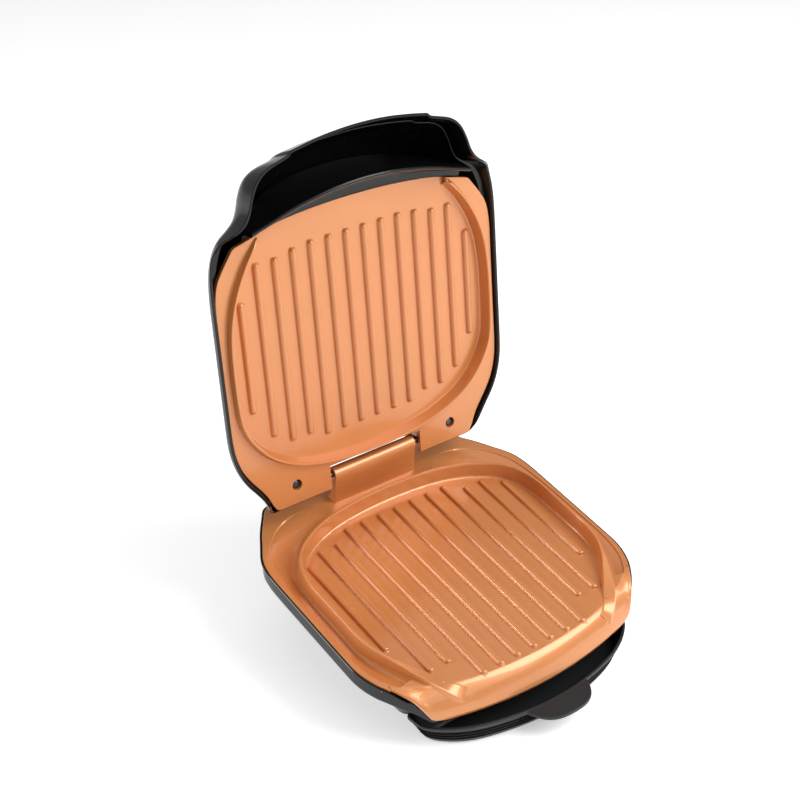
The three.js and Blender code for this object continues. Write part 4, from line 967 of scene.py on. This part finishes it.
def lip(breaks, deck):
    """The convex lip from its break to its edge, with sunk corners."""
    half = [(*inner, *outer[:3]) for inner, outer in zip(breaks, deck)]
    half[0] = (*breaks[0], *mixed(deck[0][:2], breaks[0], 0.15), 0)
    other = [(-a, b, -c, d, fall) for a, b, c, d, fall in reversed(half) if a > 0]
    rings = []
    for inner_x, inner_y, outer_x, outer_y, fall in eased([*half, *other], 3):
        inner, outer = (inner_x, inner_y), (outer_x, outer_y)
        width = math.dist(inner, outer)
        edge_level = FLANGE_LEVEL - fall * LIP_FALL
        strip = max(1 - STRIP_WIDTH / width, 0.1)
        reaches = [reach * strip for reach in LIP_REACHES]
        reaches += [strip + 0.35 / width, mix(strip, 1, 0.5), mix(strip, 1, 0.8)]

        def level(reach, sink):
            x, y = mixed(inner, outer, reach)
            raise_share = smooth((abs(x) - read_off(RAMP_MIDDLES, y)) / (2 * RAMP_BLEND) + 0.5)
            start = mix(FLOOR_LEVEL, FLANGE_LEVEL, raise_share)
            if sink and reach < strip + TINY:
                start -= CORNER_SINK * raise_share * smooth(reach / 0.25) * smooth(width / 6 - 0.6)
            return mix(start, min(edge_level, start), lip_drop(reach))

        swell = min(fall / LIP_SWELL, 1)
        thickness = mix(FLANGE_THICKNESS, LIP_THICKNESS, swell)
        bite = -1 / width
        start = level(0, False)
        ring = [(*mixed(inner, outer, bite), start - HAIR * (start < FLANGE_LEVEL - TINY))]
        ring += [(*mixed(inner, outer, reach), level(reach, True)) for reach in reaches]
        ring += [
            (*mixed(inner, outer, 1 - 0.25 / width), edge_level), (*outer, edge_level - 0.3),
            (*outer, edge_level - thickness * 0.5),
            (*mixed(inner, outer, 1 - 0.3 / width), edge_level - thickness),
            (*mixed(inner, outer, 0.3), level(0.3, False) - thickness - swell),
            (*mixed(inner, outer, bite), mix(FLANGE_LEVEL - FLANGE_THICKNESS, DECK_UNDERSIDE + GAP, swell)),
        ]
        rings.append(ring)
    return lofted(rings)


def wall_rings(crests, edges, rounding):
    """Cross-sections of a wall from its outer crest and its inner edge."""
    rings = []
    for crest, edge in zip(crests, edges):
        crest, edge = Vector(crest), Vector(edge)
        out = Vector((crest.x - edge.x, crest.y - edge.y, 0))
        width = out.length
        out.normalize()
        tall = max(min((edge.z - FLOOR_LEVEL) / (WALL_RISE - FLOOR_LEVEL), 1), 0)
        flank = mix(0.5, 2.7, tall)
        soft = min(rounding * 0.55, width * 0.2)
        dip = mix(0.12, rounding * 0.55, tall)
        outer_base = min(crest.z - 3.2, FLANGE_LEVEL - 2.4)
        inner_base = min(edge.z - 1.2, FLOOR_LEVEL - 1.2)

        def on(start, sideways, level):
            return (start.x + out.x * sideways, start.y + out.y * sideways, level)

        def drop(share):
            return mix(edge.z, min(FLOOR_LEVEL, edge.z) - HAIR, share)

        rings.append([
            on(crest, 0.9, outer_base), on(crest, 0.75, mix(crest.z, outer_base, 0.8)),
            on(crest, 0.2, crest.z - 1.1 - dip), on(crest, 0, crest.z - dip),
            on(crest, -soft * 0.5, crest.z - dip * 0.3), on(crest, -soft * 1.4, crest.z),
            on(edge, soft * 1.4, edge.z), on(edge, soft * 0.5, edge.z - dip * 0.3),
            on(edge, 0, edge.z - dip),
            on(edge, -flank * 0.14, min(drop(0.13), edge.z - dip)), on(edge, -flank * 0.6, drop(0.86)),
            on(edge, -flank * 0.8, drop(0.955)), on(edge, -flank * 1.1, drop(1)),
            on(edge, -flank * 1.15, inner_base),
        ])
    return rings


def pool(basin, mouth_y, cutter_top):
    """A cutter for the cooking floor's recess, and a deeper clip that keeps the floor inside it."""
    plan = [*basin, (basin[-1][0], mouth_y), (basin[0][0], mouth_y)]
    return raised(plan, FLOOR_LEVEL, cutter_top), raised(plan, CLIP_DEPTH, CLIP_HEIGHT)


def lower_plate(sizes):
    """The lower casting: slab and lip, recessed ribbed floor, wall, gutters, tongue and knuckle."""
    crown = sizes.lower_rib_height / MILLIMETRE
    rounding = sizes.crest_rounding / MILLIMETRE
    deck = sized(DECK_OUTLINE, DECK_HALF_WIDTH, DECK_BACK, DECK_FRONT)
    breaks = sized(LIP_BREAKS, DECK_HALF_WIDTH, DECK_BACK, DECK_FRONT)
    first = len(deck) - len(breaks)
    sides = [row[:2] for row in deck[:first]]
    corner, behind = deck[first][:2], breaks[0]
    edge = mirrored([*sides, mixed(sides[-1], corner, 0.95), corner, mixed(corner, behind, 0.8), *breaks])
    on_lip = {y for _, y in breaks[1:]}
    insets = [0 if y in on_lip else -FLANGE_WIDTH for _, y in edge]
    slab = plate_slab(edge, grown(edge, insets), DECK_UNDERSIDE, FLANGE_LEVEL, FLANGE_THICKNESS)
    front_lip = lip(breaks, deck[first:])

    wall_half = sized(WALL_PATH, WALL_HALF_WIDTH, WALL_BACK, WALL_FRONT)
    recess, clip = pool(eased(whole_path(wall_half)), -DECK_FRONT - REACH_PAST, REACH_PAST)
    both = whole_path(wall_half[:WALL_LEVEL_ROWS])
    crests = at(beside(both, WALL_HALF_THICKNESS), WALL_RISE)
    edges = at(beside(both, -WALL_HALF_THICKNESS), WALL_RISE)
    ramp_crests, ramp_edges = zip(*WALL_RAMP)

    def both_sides(middle, ramp):
        return eased([*[(-x, y, z) for x, y, z in reversed(ramp)], *middle, *ramp])

    wall = lofted(wall_rings(both_sides(crests, ramp_crests), both_sides(edges, ramp_edges), rounding))
    troughs = []
    for side in (-1, 1):
        rings = []
        for inner_x, inner_y, outer_x, outer_y, depth in eased(TROUGH_BANKS, 3):
            banks = (inner_x * side, inner_y), (outer_x * side, outer_y)
            rings.append([(*mixed(*banks, across), FLANGE_LEVEL - HAIR + down * depth)
                          for across, down in TROUGH_PROFILE])
        troughs.append(lofted(rings))

    turn = [math.radians(angle) for angle in range(180, -76, -12)]
    roll = [(HINGE_BACK + KNUCKLE_RADIUS * math.cos(a), HINGE_HEIGHT + KNUCKLE_RADIUS * math.sin(a))
            for a in turn]
    section = [*TONGUE_FRONT, *roll, *TONGUE_BACK]
    ends = [(TONGUE_HALF_WIDTH - way_in, shrink) for way_in, shrink in TONGUE_ENDS]
    tongue = lofted([
        [(x, y, z) for y, z in grown(section, -shrink)]
        for x, shrink in [*[(-x, shrink) for x, shrink in ends], *reversed(ends)]])

    ribs = rib_lines(
        LOWER_RIB_SPAN, LOWER_RIB_COUNT, LOWER_RIB_REACH, LOWER_RIB_FRONTS, LOWER_RIB_BACKS, -1)
    shore = sorted(row[:2] for row in eased(breaks, 3))
    lip_width = DECK_FRONT + shore[0][1]
    floor = rib_floor(
        ribs, LOWER_RIB_PROFILE, LOWER_FLOOR_HALF_WIDTH, shore[0][1] - LOWER_FLOOR_PAST_LIP,
        LOWER_FLOOR_BACK, crown, shore,
        lambda past: FLOOR_DIVE * past + LIP_FALL * lip_drop(past / lip_width))
    plate = cut(joined(slab, front_lip), recess, *troughs)
    plate = joined(plate, wall, kept(floor, clip), tongue)
    bore = [(x, HINGE_BACK, HINGE_HEIGHT) for x in (-BORE_HALF_LENGTH, BORE_HALF_LENGTH)]
    return cut(plate, bar(PIN_HOLE_RADIUS, *bore))


def lid_plate(sizes):
    """The lid's casting: slab, ribbed floor within its ridge, slotted hinge lugs and screw holes."""
    crown = sizes.lid_rib_height / MILLIMETRE
    crest = sizes.crest_rounding / MILLIMETRE
    half = sized(LID_PLATE_OUTLINE, LID_PLATE_HALF_WIDTH, LID_PLATE_FRONT, LID_PLATE_BACK)
    outline = mirrored(half)
    slab = plate_slab(outline, grown(outline, -FLANGE_WIDTH), LID_UNDERSIDE, LID_FLANGE_LEVEL,
                      LID_FLANGE_THICKNESS)
    ridge_half = sized(RIDGE_PATH, RIDGE_HALF_WIDTH, RIDGE_FRONT, RIDGE_BACK)
    path = eased(whole_path(ridge_half))
    recess, clip = pool([row[:2] for row in path], LID_PLATE_FRONT + REACH_PAST, CLIP_HEIGHT)
    within = raised(
        eased(grown(outline, -LID_FLOOR_INSET), closed=True), CLIP_DEPTH, LID_CLIP_HEIGHT)

    def ridge_section(height):
        top = height * RIDGE_RISE
        return [
            (-2.4, -0.3), (-2.15, 0.95), (-1.7, 1.3), (-1.3, 2.1), (-crest * 1.15, top - 0.9),
            (-crest, top - 0.42), (-crest * 0.7, top - 0.12), (-crest * 0.25, top), (crest * 0.25, top),
            (crest * 0.7, top - 0.12), (crest, top - 0.42), (1.15, top - 1.1), (2.1, -1.2),
            (2.6, -2.2), (3.4, -2.46), (3.6, -3.9), (-0.8, -4),
        ]

    ridge = ribbon(path, ridge_section)
    ribs = rib_lines(LID_RIB_SPAN, LID_RIB_COUNT, LID_RIB_REACH, LID_RIB_FRONTS, LID_RIB_BACKS, 1)
    floor = rib_floor(ribs, LID_RIB_PROFILE, LID_FLOOR_HALF_WIDTH, -LID_FLOOR_BACK, LID_FLOOR_FRONT, crown)
    low, high = LID_UNDERSIDE - REACH_PAST, LID_FLANGE_LEVEL + REACH_PAST
    notch = block((-NOTCH_HALF_WIDTH, -LID_PLATE_BACK - REACH_PAST, low),
                  (NOTCH_HALF_WIDTH, -LID_PLATE_BACK + NOTCH_DEPTH, high))
    slot_bottom = HINGE_IN_LID_LEVEL - FLOAT_TRAVEL - PIN_HOLE_RADIUS
    lugs, slots, holes = [], [], []
    for side in (-1, 1):
        wall, gap = NOTCH_HALF_WIDTH + LUG_THICKNESS + LUG_WALL, NOTCH_HALF_WIDTH + LUG_THICKNESS + GAP
        lugs.append(block(
            (side * NOTCH_HALF_WIDTH, HINGE_IN_LID_BACK - LUG_HALF_HEIGHT, slot_bottom - LUG_WALL),
            (side * wall, HINGE_IN_LID_BACK + LUG_HALF_HEIGHT, LID_FLANGE_LEVEL - LUG_SUNK)))
        slots.append(block(
            (side * (NOTCH_HALF_WIDTH - REACH_PAST), HINGE_IN_LID_BACK - PIN_HOLE_RADIUS, slot_bottom),
            (side * gap, HINGE_IN_LID_BACK + PIN_HOLE_RADIUS, HINGE_IN_LID_LEVEL + PIN_HOLE_RADIUS)))
        x = side * LID_SCREW_SPREAD
        holes.append(upright(SCREW_HEAD_ROOM, x, -LID_SCREW_BACK, SCREW_HEAD_LEVEL, high))
        holes.append(upright(SCREW_HOLE_RADIUS, x, -LID_SCREW_BACK, low, high))
    plate = cut(slab, recess)
    plate = joined(plate, ridge, kept(floor, clip, within), *lugs)
    return cut(plate, notch, *slots, *holes)


def on_table(x, y, z):
    """A point of the deck frame in the table frame."""
    return (
        x, y * math.cos(DECK_TILT) - z * math.sin(DECK_TILT),
        y * math.sin(DECK_TILT) + z * math.cos(DECK_TILT) + DECK_HEIGHT)


def less(pair, amount):
    """Values that are all smaller by an amount."""
    return [value - amount for value in pair]


def base_shell():
    """The hollow base: beaded rim, walls, bottom, the ledge that carries the plate, and the inlet's boss."""
    deck = mirrored(sized(DECK_OUTLINE, DECK_HALF_WIDTH, DECK_BACK, DECK_FRONT))
    bottom = mirrored(sized(BOTTOM_OUTLINE, BOTTOM_HALF_WIDTH, BOTTOM_BACK, BOTTOM_FRONT))
    thick = SHELL_THICKNESS

    def ring(growths, levels):
        """A ring beside the deck's edge, its growth and level given at the sides and at the front."""
        moved = grown(deck, [mix(*growths, tuck) for *_, tuck in deck])
        return [on_table(x, y, mix(*levels, fall)) for x, y, _, fall, _ in moved]

    def bottom_ring(growth, front_level, back_level):
        return [(x, y, front_level if y < 0 else back_level) for x, y in grown(bottom, growth)]

    # Each pair holds a growth or a level at the sides and at the front.
    rim, wall = (RIM_PROUD, -RIM_FRONT_INSET), (-WALL_INSET, -RIM_FRONT_INSET - WALL_INSET)
    seat, ledge = (GAP, -RIM_FRONT_INSET - thick), (-LEDGE_WIDTH, -2 * LEDGE_WIDTH)
    rim_top = (RIM_LEVEL, RIM_FRONT_LEVEL)
    bead = (RIM_LEVEL - RIM_BEAD, RIM_FRONT_LEVEL - RIM_FRONT_BEAD)
    wall_top = (bead[0] - RIM_PROUD, bead[1] - GAP)
    wall_foot = (RIM_LEVEL - SIDE_WALL_HEIGHT, RIM_FRONT_LEVEL - FRONT_WALL_HEIGHT)
    turned_in = (wall_foot[0] - 1.4 * thick, wall_foot[1] - 0.3 * thick)
    ledge_top = (FLANGE_LEVEL - FLANGE_THICKNESS - GAP, RIM_FRONT_LEVEL - GAP)
    step = BOTTOM_LEVEL + BOTTOM_STEP
    body = lofted(eased_rings([
        ring(mixed(seat, rim, 0.25), rim_top), ring(mixed(seat, rim, 0.75), rim_top),
        ring(rim, mixed(rim_top, bead, 0.3)), ring(rim, bead), ring(wall, wall_top),
        ring(wall, mixed(wall_top, wall_foot, 0.12)), ring(wall, mixed(wall_top, wall_foot, 0.85)),
        ring(less(wall, 0.15), mixed(wall_top, wall_foot, 0.96)),
        ring(less(wall, 0.8), mixed(wall_foot, turned_in, 0.16)), ring(less(wall, 2 * thick), turned_in),
        bottom_ring(STEP_LEAN, TRAY_ROOM_LEVEL, step), bottom_ring(0, BOTTOM_LEVEL, BOTTOM_LEVEL),
        bottom_ring(-thick, BOTTOM_LEVEL, BOTTOM_LEVEL),
        bottom_ring(0, TRAY_ROOM_LEVEL + thick, step + thick),
        ring(less(wall, 3 * thick), (wall_foot[0] - 0.7 * thick, wall_foot[1] + 0.5 * thick)),
        ring(ledge, (wall_foot[0] + thick, wall_foot[1] + 0.5 * thick)),
        ring(ledge, ledge_top), ring(seat, ledge_top), ring(seat, mixed(rim_top, ledge_top, 0.3)),
    ]), True)

    def tilted(shape):
        shape.data.transform(Matrix.Translation((0, 0, DECK_HEIGHT)) @ Matrix.Rotation(DECK_TILT, 4, "X"))
        return shape

    def along(radius, start, end):
        return tilted(bar(radius, *[(-INLET_OFFSET, y, INLET_LEVEL) for y in (start, end)]))

    inner_face = INLET_FACE - INLET_BOSS_DEPTH
    room = tilted(block(
        (-INLET_OFFSET - INLET_BOSS_RADIUS, DECK_BACK - INLET_ROOM, DECK_UNDERSIDE - GAP),
        (-INLET_OFFSET + INLET_BOSS_RADIUS, DECK_BACK + GAP, REACH_PAST)))
    boss = cut(along(INLET_BOSS_RADIUS, inner_face, INLET_FACE), room)
    hole = along(INLET_SLEEVE + GAP, inner_face - REACH_PAST, INLET_FACE + REACH_PAST)
    pocket = along(INLET_SLEEVE + INLET_FLANGE_THICKNESS, inner_face - REACH_PAST, inner_face)
    return cut(joined(body, boss), hole, pocket)


def drawn_in(x, y, distance):
    """A point of the lid's rim, drawn in towards the middle of the lid."""
    core = Vector((max(min(x, CORE[0]), -CORE[0]), max(min(y, CORE[2]), CORE[1])))
    point = Vector((x, y))
    way = (core - point).length
    moved = point.lerp(core, min(distance / way, CORE_EDGE_SHARE))
    return moved.x, moved.y


def lid_shell():
    """The lid's dome with its hood, screw posts, liner of the hinge pocket and hole for the indicator."""
    rim = mirrored(sized(LID_RIM, LID_SHELL_HALF_WIDTH, LID_SHELL_FRONT, LID_SHELL_BACK))

    def ring(depth, side, hood_side, hood_front):
        points = []
        for x, y, rise, on_side, on_front, pinch in rim:
            plain = 1 - on_side - on_front
            squeeze = pinch * min(depth / PINCH_REACH, abs(1 - depth) / PINCH_REACH, 1)
            share = plain * side + on_side * hood_side + on_front * hood_front + squeeze
            sunk = min(rise, 0) * max(1 - depth / SUNK_RIM_REACH, 0)
            points.append((*drawn_in(x, y, share * DOME_INSET),
                           LID_RIM_LEVEL - depth * LID_DEPTH + sunk * HOOD_RISE))
        return points

    def rim_ring(inset, drop=0):
        return [(*drawn_in(x, y, inset * DOME_INSET), LID_RIM_LEVEL + rise * HOOD_RISE - drop)
                for x, y, rise, *_ in rim]

    outer = eased_across([*[ring(*row) for row in LID_OUTER_RINGS], rim_ring(0, RIM_ROUNDING)], 2)
    top = [rim_ring(RIM_TURN), rim_ring(LID_RIM_INSET - RIM_TURN), rim_ring(LID_RIM_INSET, RIM_ROUNDING)]
    inner = [ring(*row) for row in LID_INNER_RINGS]
    shell = lofted(eased_rings([*outer, *top, *inner]))
    dome = lofted(eased_rings([*outer, top[0]]))

    posts, post_holes = [], []
    post_top = LID_UNDERSIDE - GAP
    for x in (-LID_SCREW_SPREAD, LID_SCREW_SPREAD):
        posts.append(upright(
            POST_RADIUS, x, -LID_SCREW_BACK, post_top - POST_HEIGHT, post_top, POST_SIDES))
        post_holes.append(upright(SCREW_HOLE_RADIUS, x, -LID_SCREW_BACK, POST_HOLE_BOTTOM, 0, POST_SIDES))
    back, front = -LID_SHELL_BACK - REACH_PAST, -LID_PLATE_BACK + NOTCH_DEPTH + GAP
    reach = NOTCH_HALF_WIDTH + LUG_THICKNESS + LUG_WALL + GAP
    floor = HINGE_IN_LID_LEVEL - FLOAT_TRAVEL - KNUCKLE_RADIUS - KNUCKLE_ROOM
    pocket = block((-reach, back, floor), (reach, front, REACH_PAST))
    liner = block((-reach - LINER_WALL, back, floor - LINER_WALL),
                  (reach + LINER_WALL, front + LINER_WALL, post_top))
    gate = NOTCH_HALF_WIDTH + KNUCKLE_ROOM
    gate = block((-gate, back, 0), (gate, front, GATE_HEIGHT))
    level = LID_RIM_LEVEL - LID_DEPTH
    lens_hole = upright(LENS_RADIUS + GAP, 0, LENS_FORWARD, level - REACH_PAST, level + LENS_HOLE_HEIGHT)
    whole = joined(shell, kept(joined(liner, *posts), dome))
    return cut(whole, *post_holes, pocket, gate, lens_hole)


def baffle():
    """The bar between lid plate and hood: a slope up to a rounded crest, and a leg behind it."""
    stations = []
    for width, edge, crest, leg in BAFFLE_STATIONS:
        x, near, top = width * BAFFLE_HALF_WIDTH, edge * BAFFLE_EDGE, crest * BAFFLE_CREST
        t, rise, foot = BAFFLE_THICKNESS, BAFFLE_RISE, -leg * BAFFLE_LEG
        middle = mix(near, top, 0.5)
        section = [
            (near, LID_UNDERSIDE), (near, -0.4), (near + 0.15, 0.1), (middle, rise * 0.11),
            (mix(near, top, 0.76), rise * 0.33), (top - t * 0.7, rise - t * 1.2),
            (top - t * 0.5, rise - t * 0.4), (top - t * 0.15, rise - 0.05), (top + t * 0.2, rise - 0.05),
            (top + t * 0.5, rise - t * 0.3), (top + t * 0.62, rise - t * 0.8), (top + t, foot),
            (top, foot), (top - t * 0.25, rise * 0.1 - t),
            (middle, rise * 0.11 - t), (near + t, -t), (near + t, LID_UNDERSIDE),
        ]
        stations.append([(x, y, z) for y, z in section])
    others = [[(-x, y, z) for x, y, z in ring] for ring in reversed(stations[1:])]
    return lofted(eased_across([*others, *stations], 3))


def tray():
    """The drip tray: a tapering bowl with a stepped wall, and its pull tab."""
    half = [(x, -y, share) for x, y, share in sized(TRAY_OUTLINE, TRAY_HALF_WIDTH, TRAY_FRONT, 0)]
    back = [(TRAY_HALF_WIDTH, -TRAY_BACK, 1), (TRAY_HALF_WIDTH - TRAY_BACK_CORNER, -TRAY_BACK, 1)]
    outline = mirrored([*half, *back])
    depth = TRAY_HEIGHT - TRAY_LIFT
    top, inside = TRAY_HEIGHT, TRAY_LIFT + TRAY_FLOOR
    rings = [(1, -0.8, TRAY_LIFT), (1, 0, TRAY_LIFT + 0.8)]
    for share in reversed(TRAY_STEPS[1:]):
        level = top - share * depth
        rings += [
            (share, 0, level - TRAY_EASE), (share, -TRAY_STEP, level),
            (share, -TRAY_STEP, level + TRAY_EASE),
        ]
    rings += [
        (0, 0, top - TRAY_STEPS[0] * depth), (0, 0, top - TRAY_ROUNDING), (0, -TRAY_ROUNDING, top),
        (0, TRAY_ROUNDING - TRAY_WALL, top), (0, -TRAY_WALL, top - TRAY_ROUNDING),
        (1, 0.6 - TRAY_WALL / 2, inside + 1.4), (1, -1.2 - TRAY_WALL / 2, inside),
    ]
    bowl = lofted(eased_rings([
        at(grown(outline, [growth - taper * share * TRAY_TAPER for *_, taper in outline]), level)
        for share, growth, level in rings]))
    root, tip = -TRAY_FRONT + TRAY_WALL / 2, -TRAY_FRONT - TAB_REACH
    reins = [
        (-TAB_HALF_WIDTH, root + TRAY_WALL), (-TAB_HALF_WIDTH * 0.8, tip + TAB_REACH * 0.3),
        (-TAB_HALF_WIDTH * 0.6, tip), (0, tip),
    ]
    left = []
    for k in range(TAB_SPANS + 1):
        t = k / TAB_SPANS
        weights = ((1 - t) ** 3, 3 * t * (1 - t) ** 2, 3 * t * t * (1 - t), t ** 3)
        left.append(tuple(sum(w * p[axis] for w, p in zip(weights, reins)) for axis in (0, 1)))
    plan = [*left, *[(-x, y) for x, y in reversed(left[:-1])]]
    tab = [at(grown(plan, -inset), top - down) for inset, down in (
        (0.5, TAB_THICKNESS), (0.12, TAB_THICKNESS - 0.12), (0, TAB_THICKNESS - 0.5),
        (0, 0.6), (0.18, 0.18), (0.6, 0))]
    return joined(bowl, lofted(tab))


class GRILL_OT_plates(bpy.types.Operator):
    """Casts the two ribbed cooking plates"""

    bl_idname = "grill.plates"
    bl_label = "Cooking plates"

    def execute(self, context):
        sizes = context.scene.grill_sizes
        dressed(lower_plate(sizes), "lower_plate_casting", deck_place(), "base", ["lower_grill_plate"],
                "copper_nonstick")
        dressed(lid_plate(sizes), "lid_plate_casting", lid_place(), "lid", ["lid_grill_plate"],
                "copper_nonstick")
        return {"FINISHED"}


class GRILL_OT_shells(bpy.types.Operator):
    """Moulds the gloss shells of the base and the lid, and the baffle in the hood"""

    bl_idname = "grill.shells"
    bl_label = "Gloss shells"

    def execute(self, context):
        dressed(base_shell(), "base_shell", table_place(), "base", ["base_housing"], "gloss_black")
        dressed(lid_shell(), "lid_shell", lid_place(), "lid", ["lid_housing"], "gloss_black")
        dressed(baffle(), "hood_baffle", lid_place(), "lid", ["lid_front_baffle"], "gloss_black")
        return {"FINISHED"}


class GRILL_OT_tray(bpy.types.Operator):
    """Moulds the drip tray with its stepped wall and pull tab"""

    bl_idname = "grill.tray"
    bl_label = "Drip tray"

    def execute(self, context):
        dressed(tray(), "drip_tray_moulding", table_place(), "drip_tray", ["drip_tray"], "satin_black")
        return {"FINISHED"}


class GRILL_OT_inner_parts(bpy.types.Operator):
    """Finishes the solids that stay as they are"""

    bl_idname = "grill.inner_parts"
    bl_label = "Inner parts"

    def execute(self, context):
        finishes = {entry["node"]: entry["material_slot"] for entry in frame["record"]["subparts"]}
        for name, node in frame["nodes"].items():
            node.data.materials.clear()
            node.data.materials.append(material(finishes[name]))
        return {"FINISHED"}


class GRILL_OT_stage(bpy.types.Operator):
    """Sets up the floor, the lights and the camera"""

    bl_idname = "grill.stage"
    bl_label = "Studio"

    def execute(self, context):
        studio = context.scene.grill_studio
        far = FLOOR_HALF_SIZE
        corners = [(-far, -far, 0), (far, -far, 0), (far, far, 0), (-far, far, 0)]
        shape = bpy.data.meshes.new("studio_floor")
        shape.from_pydata(corners, [], [(0, 1, 2, 3)])
        floor = bpy.data.objects.new("studio_floor", shape)
        context.scene.collection.objects.link(floor)
        shape.materials.append(material("studio_floor"))
        for name, place, width in LIGHTS:
            height = studio.key_height if name == "key" else width
            self.light(context, name + "_light", place, (width, height), getattr(studio, name + "_power"))
        world = bpy.data.worlds.new("surroundings")
        world.use_nodes = True
        background = next(n for n in world.node_tree.nodes if n.type == "BACKGROUND")
        background.inputs["Color"].default_value = (1, 1, 1, 1)
        background.inputs["Strength"].default_value = studio.sky
        context.scene.world = world
        context.scene.view_settings.view_transform = "Standard"
        self.camera(context)
        return {"FINISHED"}

    def light(self, context, name, place, size, power):
        lamp = bpy.data.lights.new(name, "AREA")
        lamp.shape = "RECTANGLE"
        lamp.size, lamp.size_y = size
        lamp.energy = power
        lit = bpy.data.objects.new(name, lamp)
        lit.location = place
        aim = Vector(LIGHT_AIM) - Vector(place)
        lit.rotation_euler = aim.to_track_quat("-Z", "Y").to_euler()
        context.scene.collection.objects.link(lit)

    def camera(self, context):
        forward = Vector(VIEW_FORWARD).normalized()
        right = Vector(VIEW_RIGHT).normalized()
        up = right.cross(forward).normalized()
        view = bpy.data.cameras.new("photo_camera")
        view.sensor_width = 36
        view.lens = VIEW_LENS
        eye = bpy.data.objects.new("photo_camera", view)
        turn = Matrix((right, up, -forward)).transposed().to_4x4()
        eye.matrix_world = Matrix.Translation(VIEW_PLACE) @ turn
        context.scene.collection.objects.link(eye)
        context.scene.camera = eye


class GRILL_PT_panel(bpy.types.Panel):
    """The grill's pieces and settings"""

    bl_label = "Contact grill"
    bl_idname = "GRILL_PT_panel"
    bl_space_type = "VIEW_3D"
    bl_region_type = "UI"
    bl_category = "Grill"

    def draw(self, context):
        for operator in OPERATORS:
            self.layout.operator(operator.bl_idname)
        for group in (context.scene.grill_sizes, context.scene.grill_colours, context.scene.grill_studio):
            box = self.layout.box()
            for name in group.bl_rna.properties.keys():
                if name not in ("rna_type", "name"):
                    box.prop(group, name)


OPERATORS = (
    GRILL_OT_plates, GRILL_OT_shells, GRILL_OT_tray, GRILL_OT_inner_parts, GRILL_OT_stage,
)
CLASSES = (GrillSizes, GrillColours, GrillStudio, *OPERATORS, GRILL_PT_panel)


def register():
    for item in CLASSES:
        bpy.utils.register_class(item)
    bpy.types.Scene.grill_sizes = PointerProperty(type=GrillSizes)
    bpy.types.Scene.grill_colours = PointerProperty(type=GrillColours)
    bpy.types.Scene.grill_studio = PointerProperty(type=GrillStudio)


def unregister():
    del bpy.types.Scene.grill_studio
    del bpy.types.Scene.grill_colours
    del bpy.types.Scene.grill_sizes
    for item in reversed(CLASSES):
        bpy.utils.unregister_class(item)


def main():
    register()
    bpy.ops.grill.inner_parts()
    bpy.ops.grill.plates()
    bpy.ops.grill.shells()
    bpy.ops.grill.tray()
    bpy.ops.grill.stage()


if __name__ == "__main__":
    main()
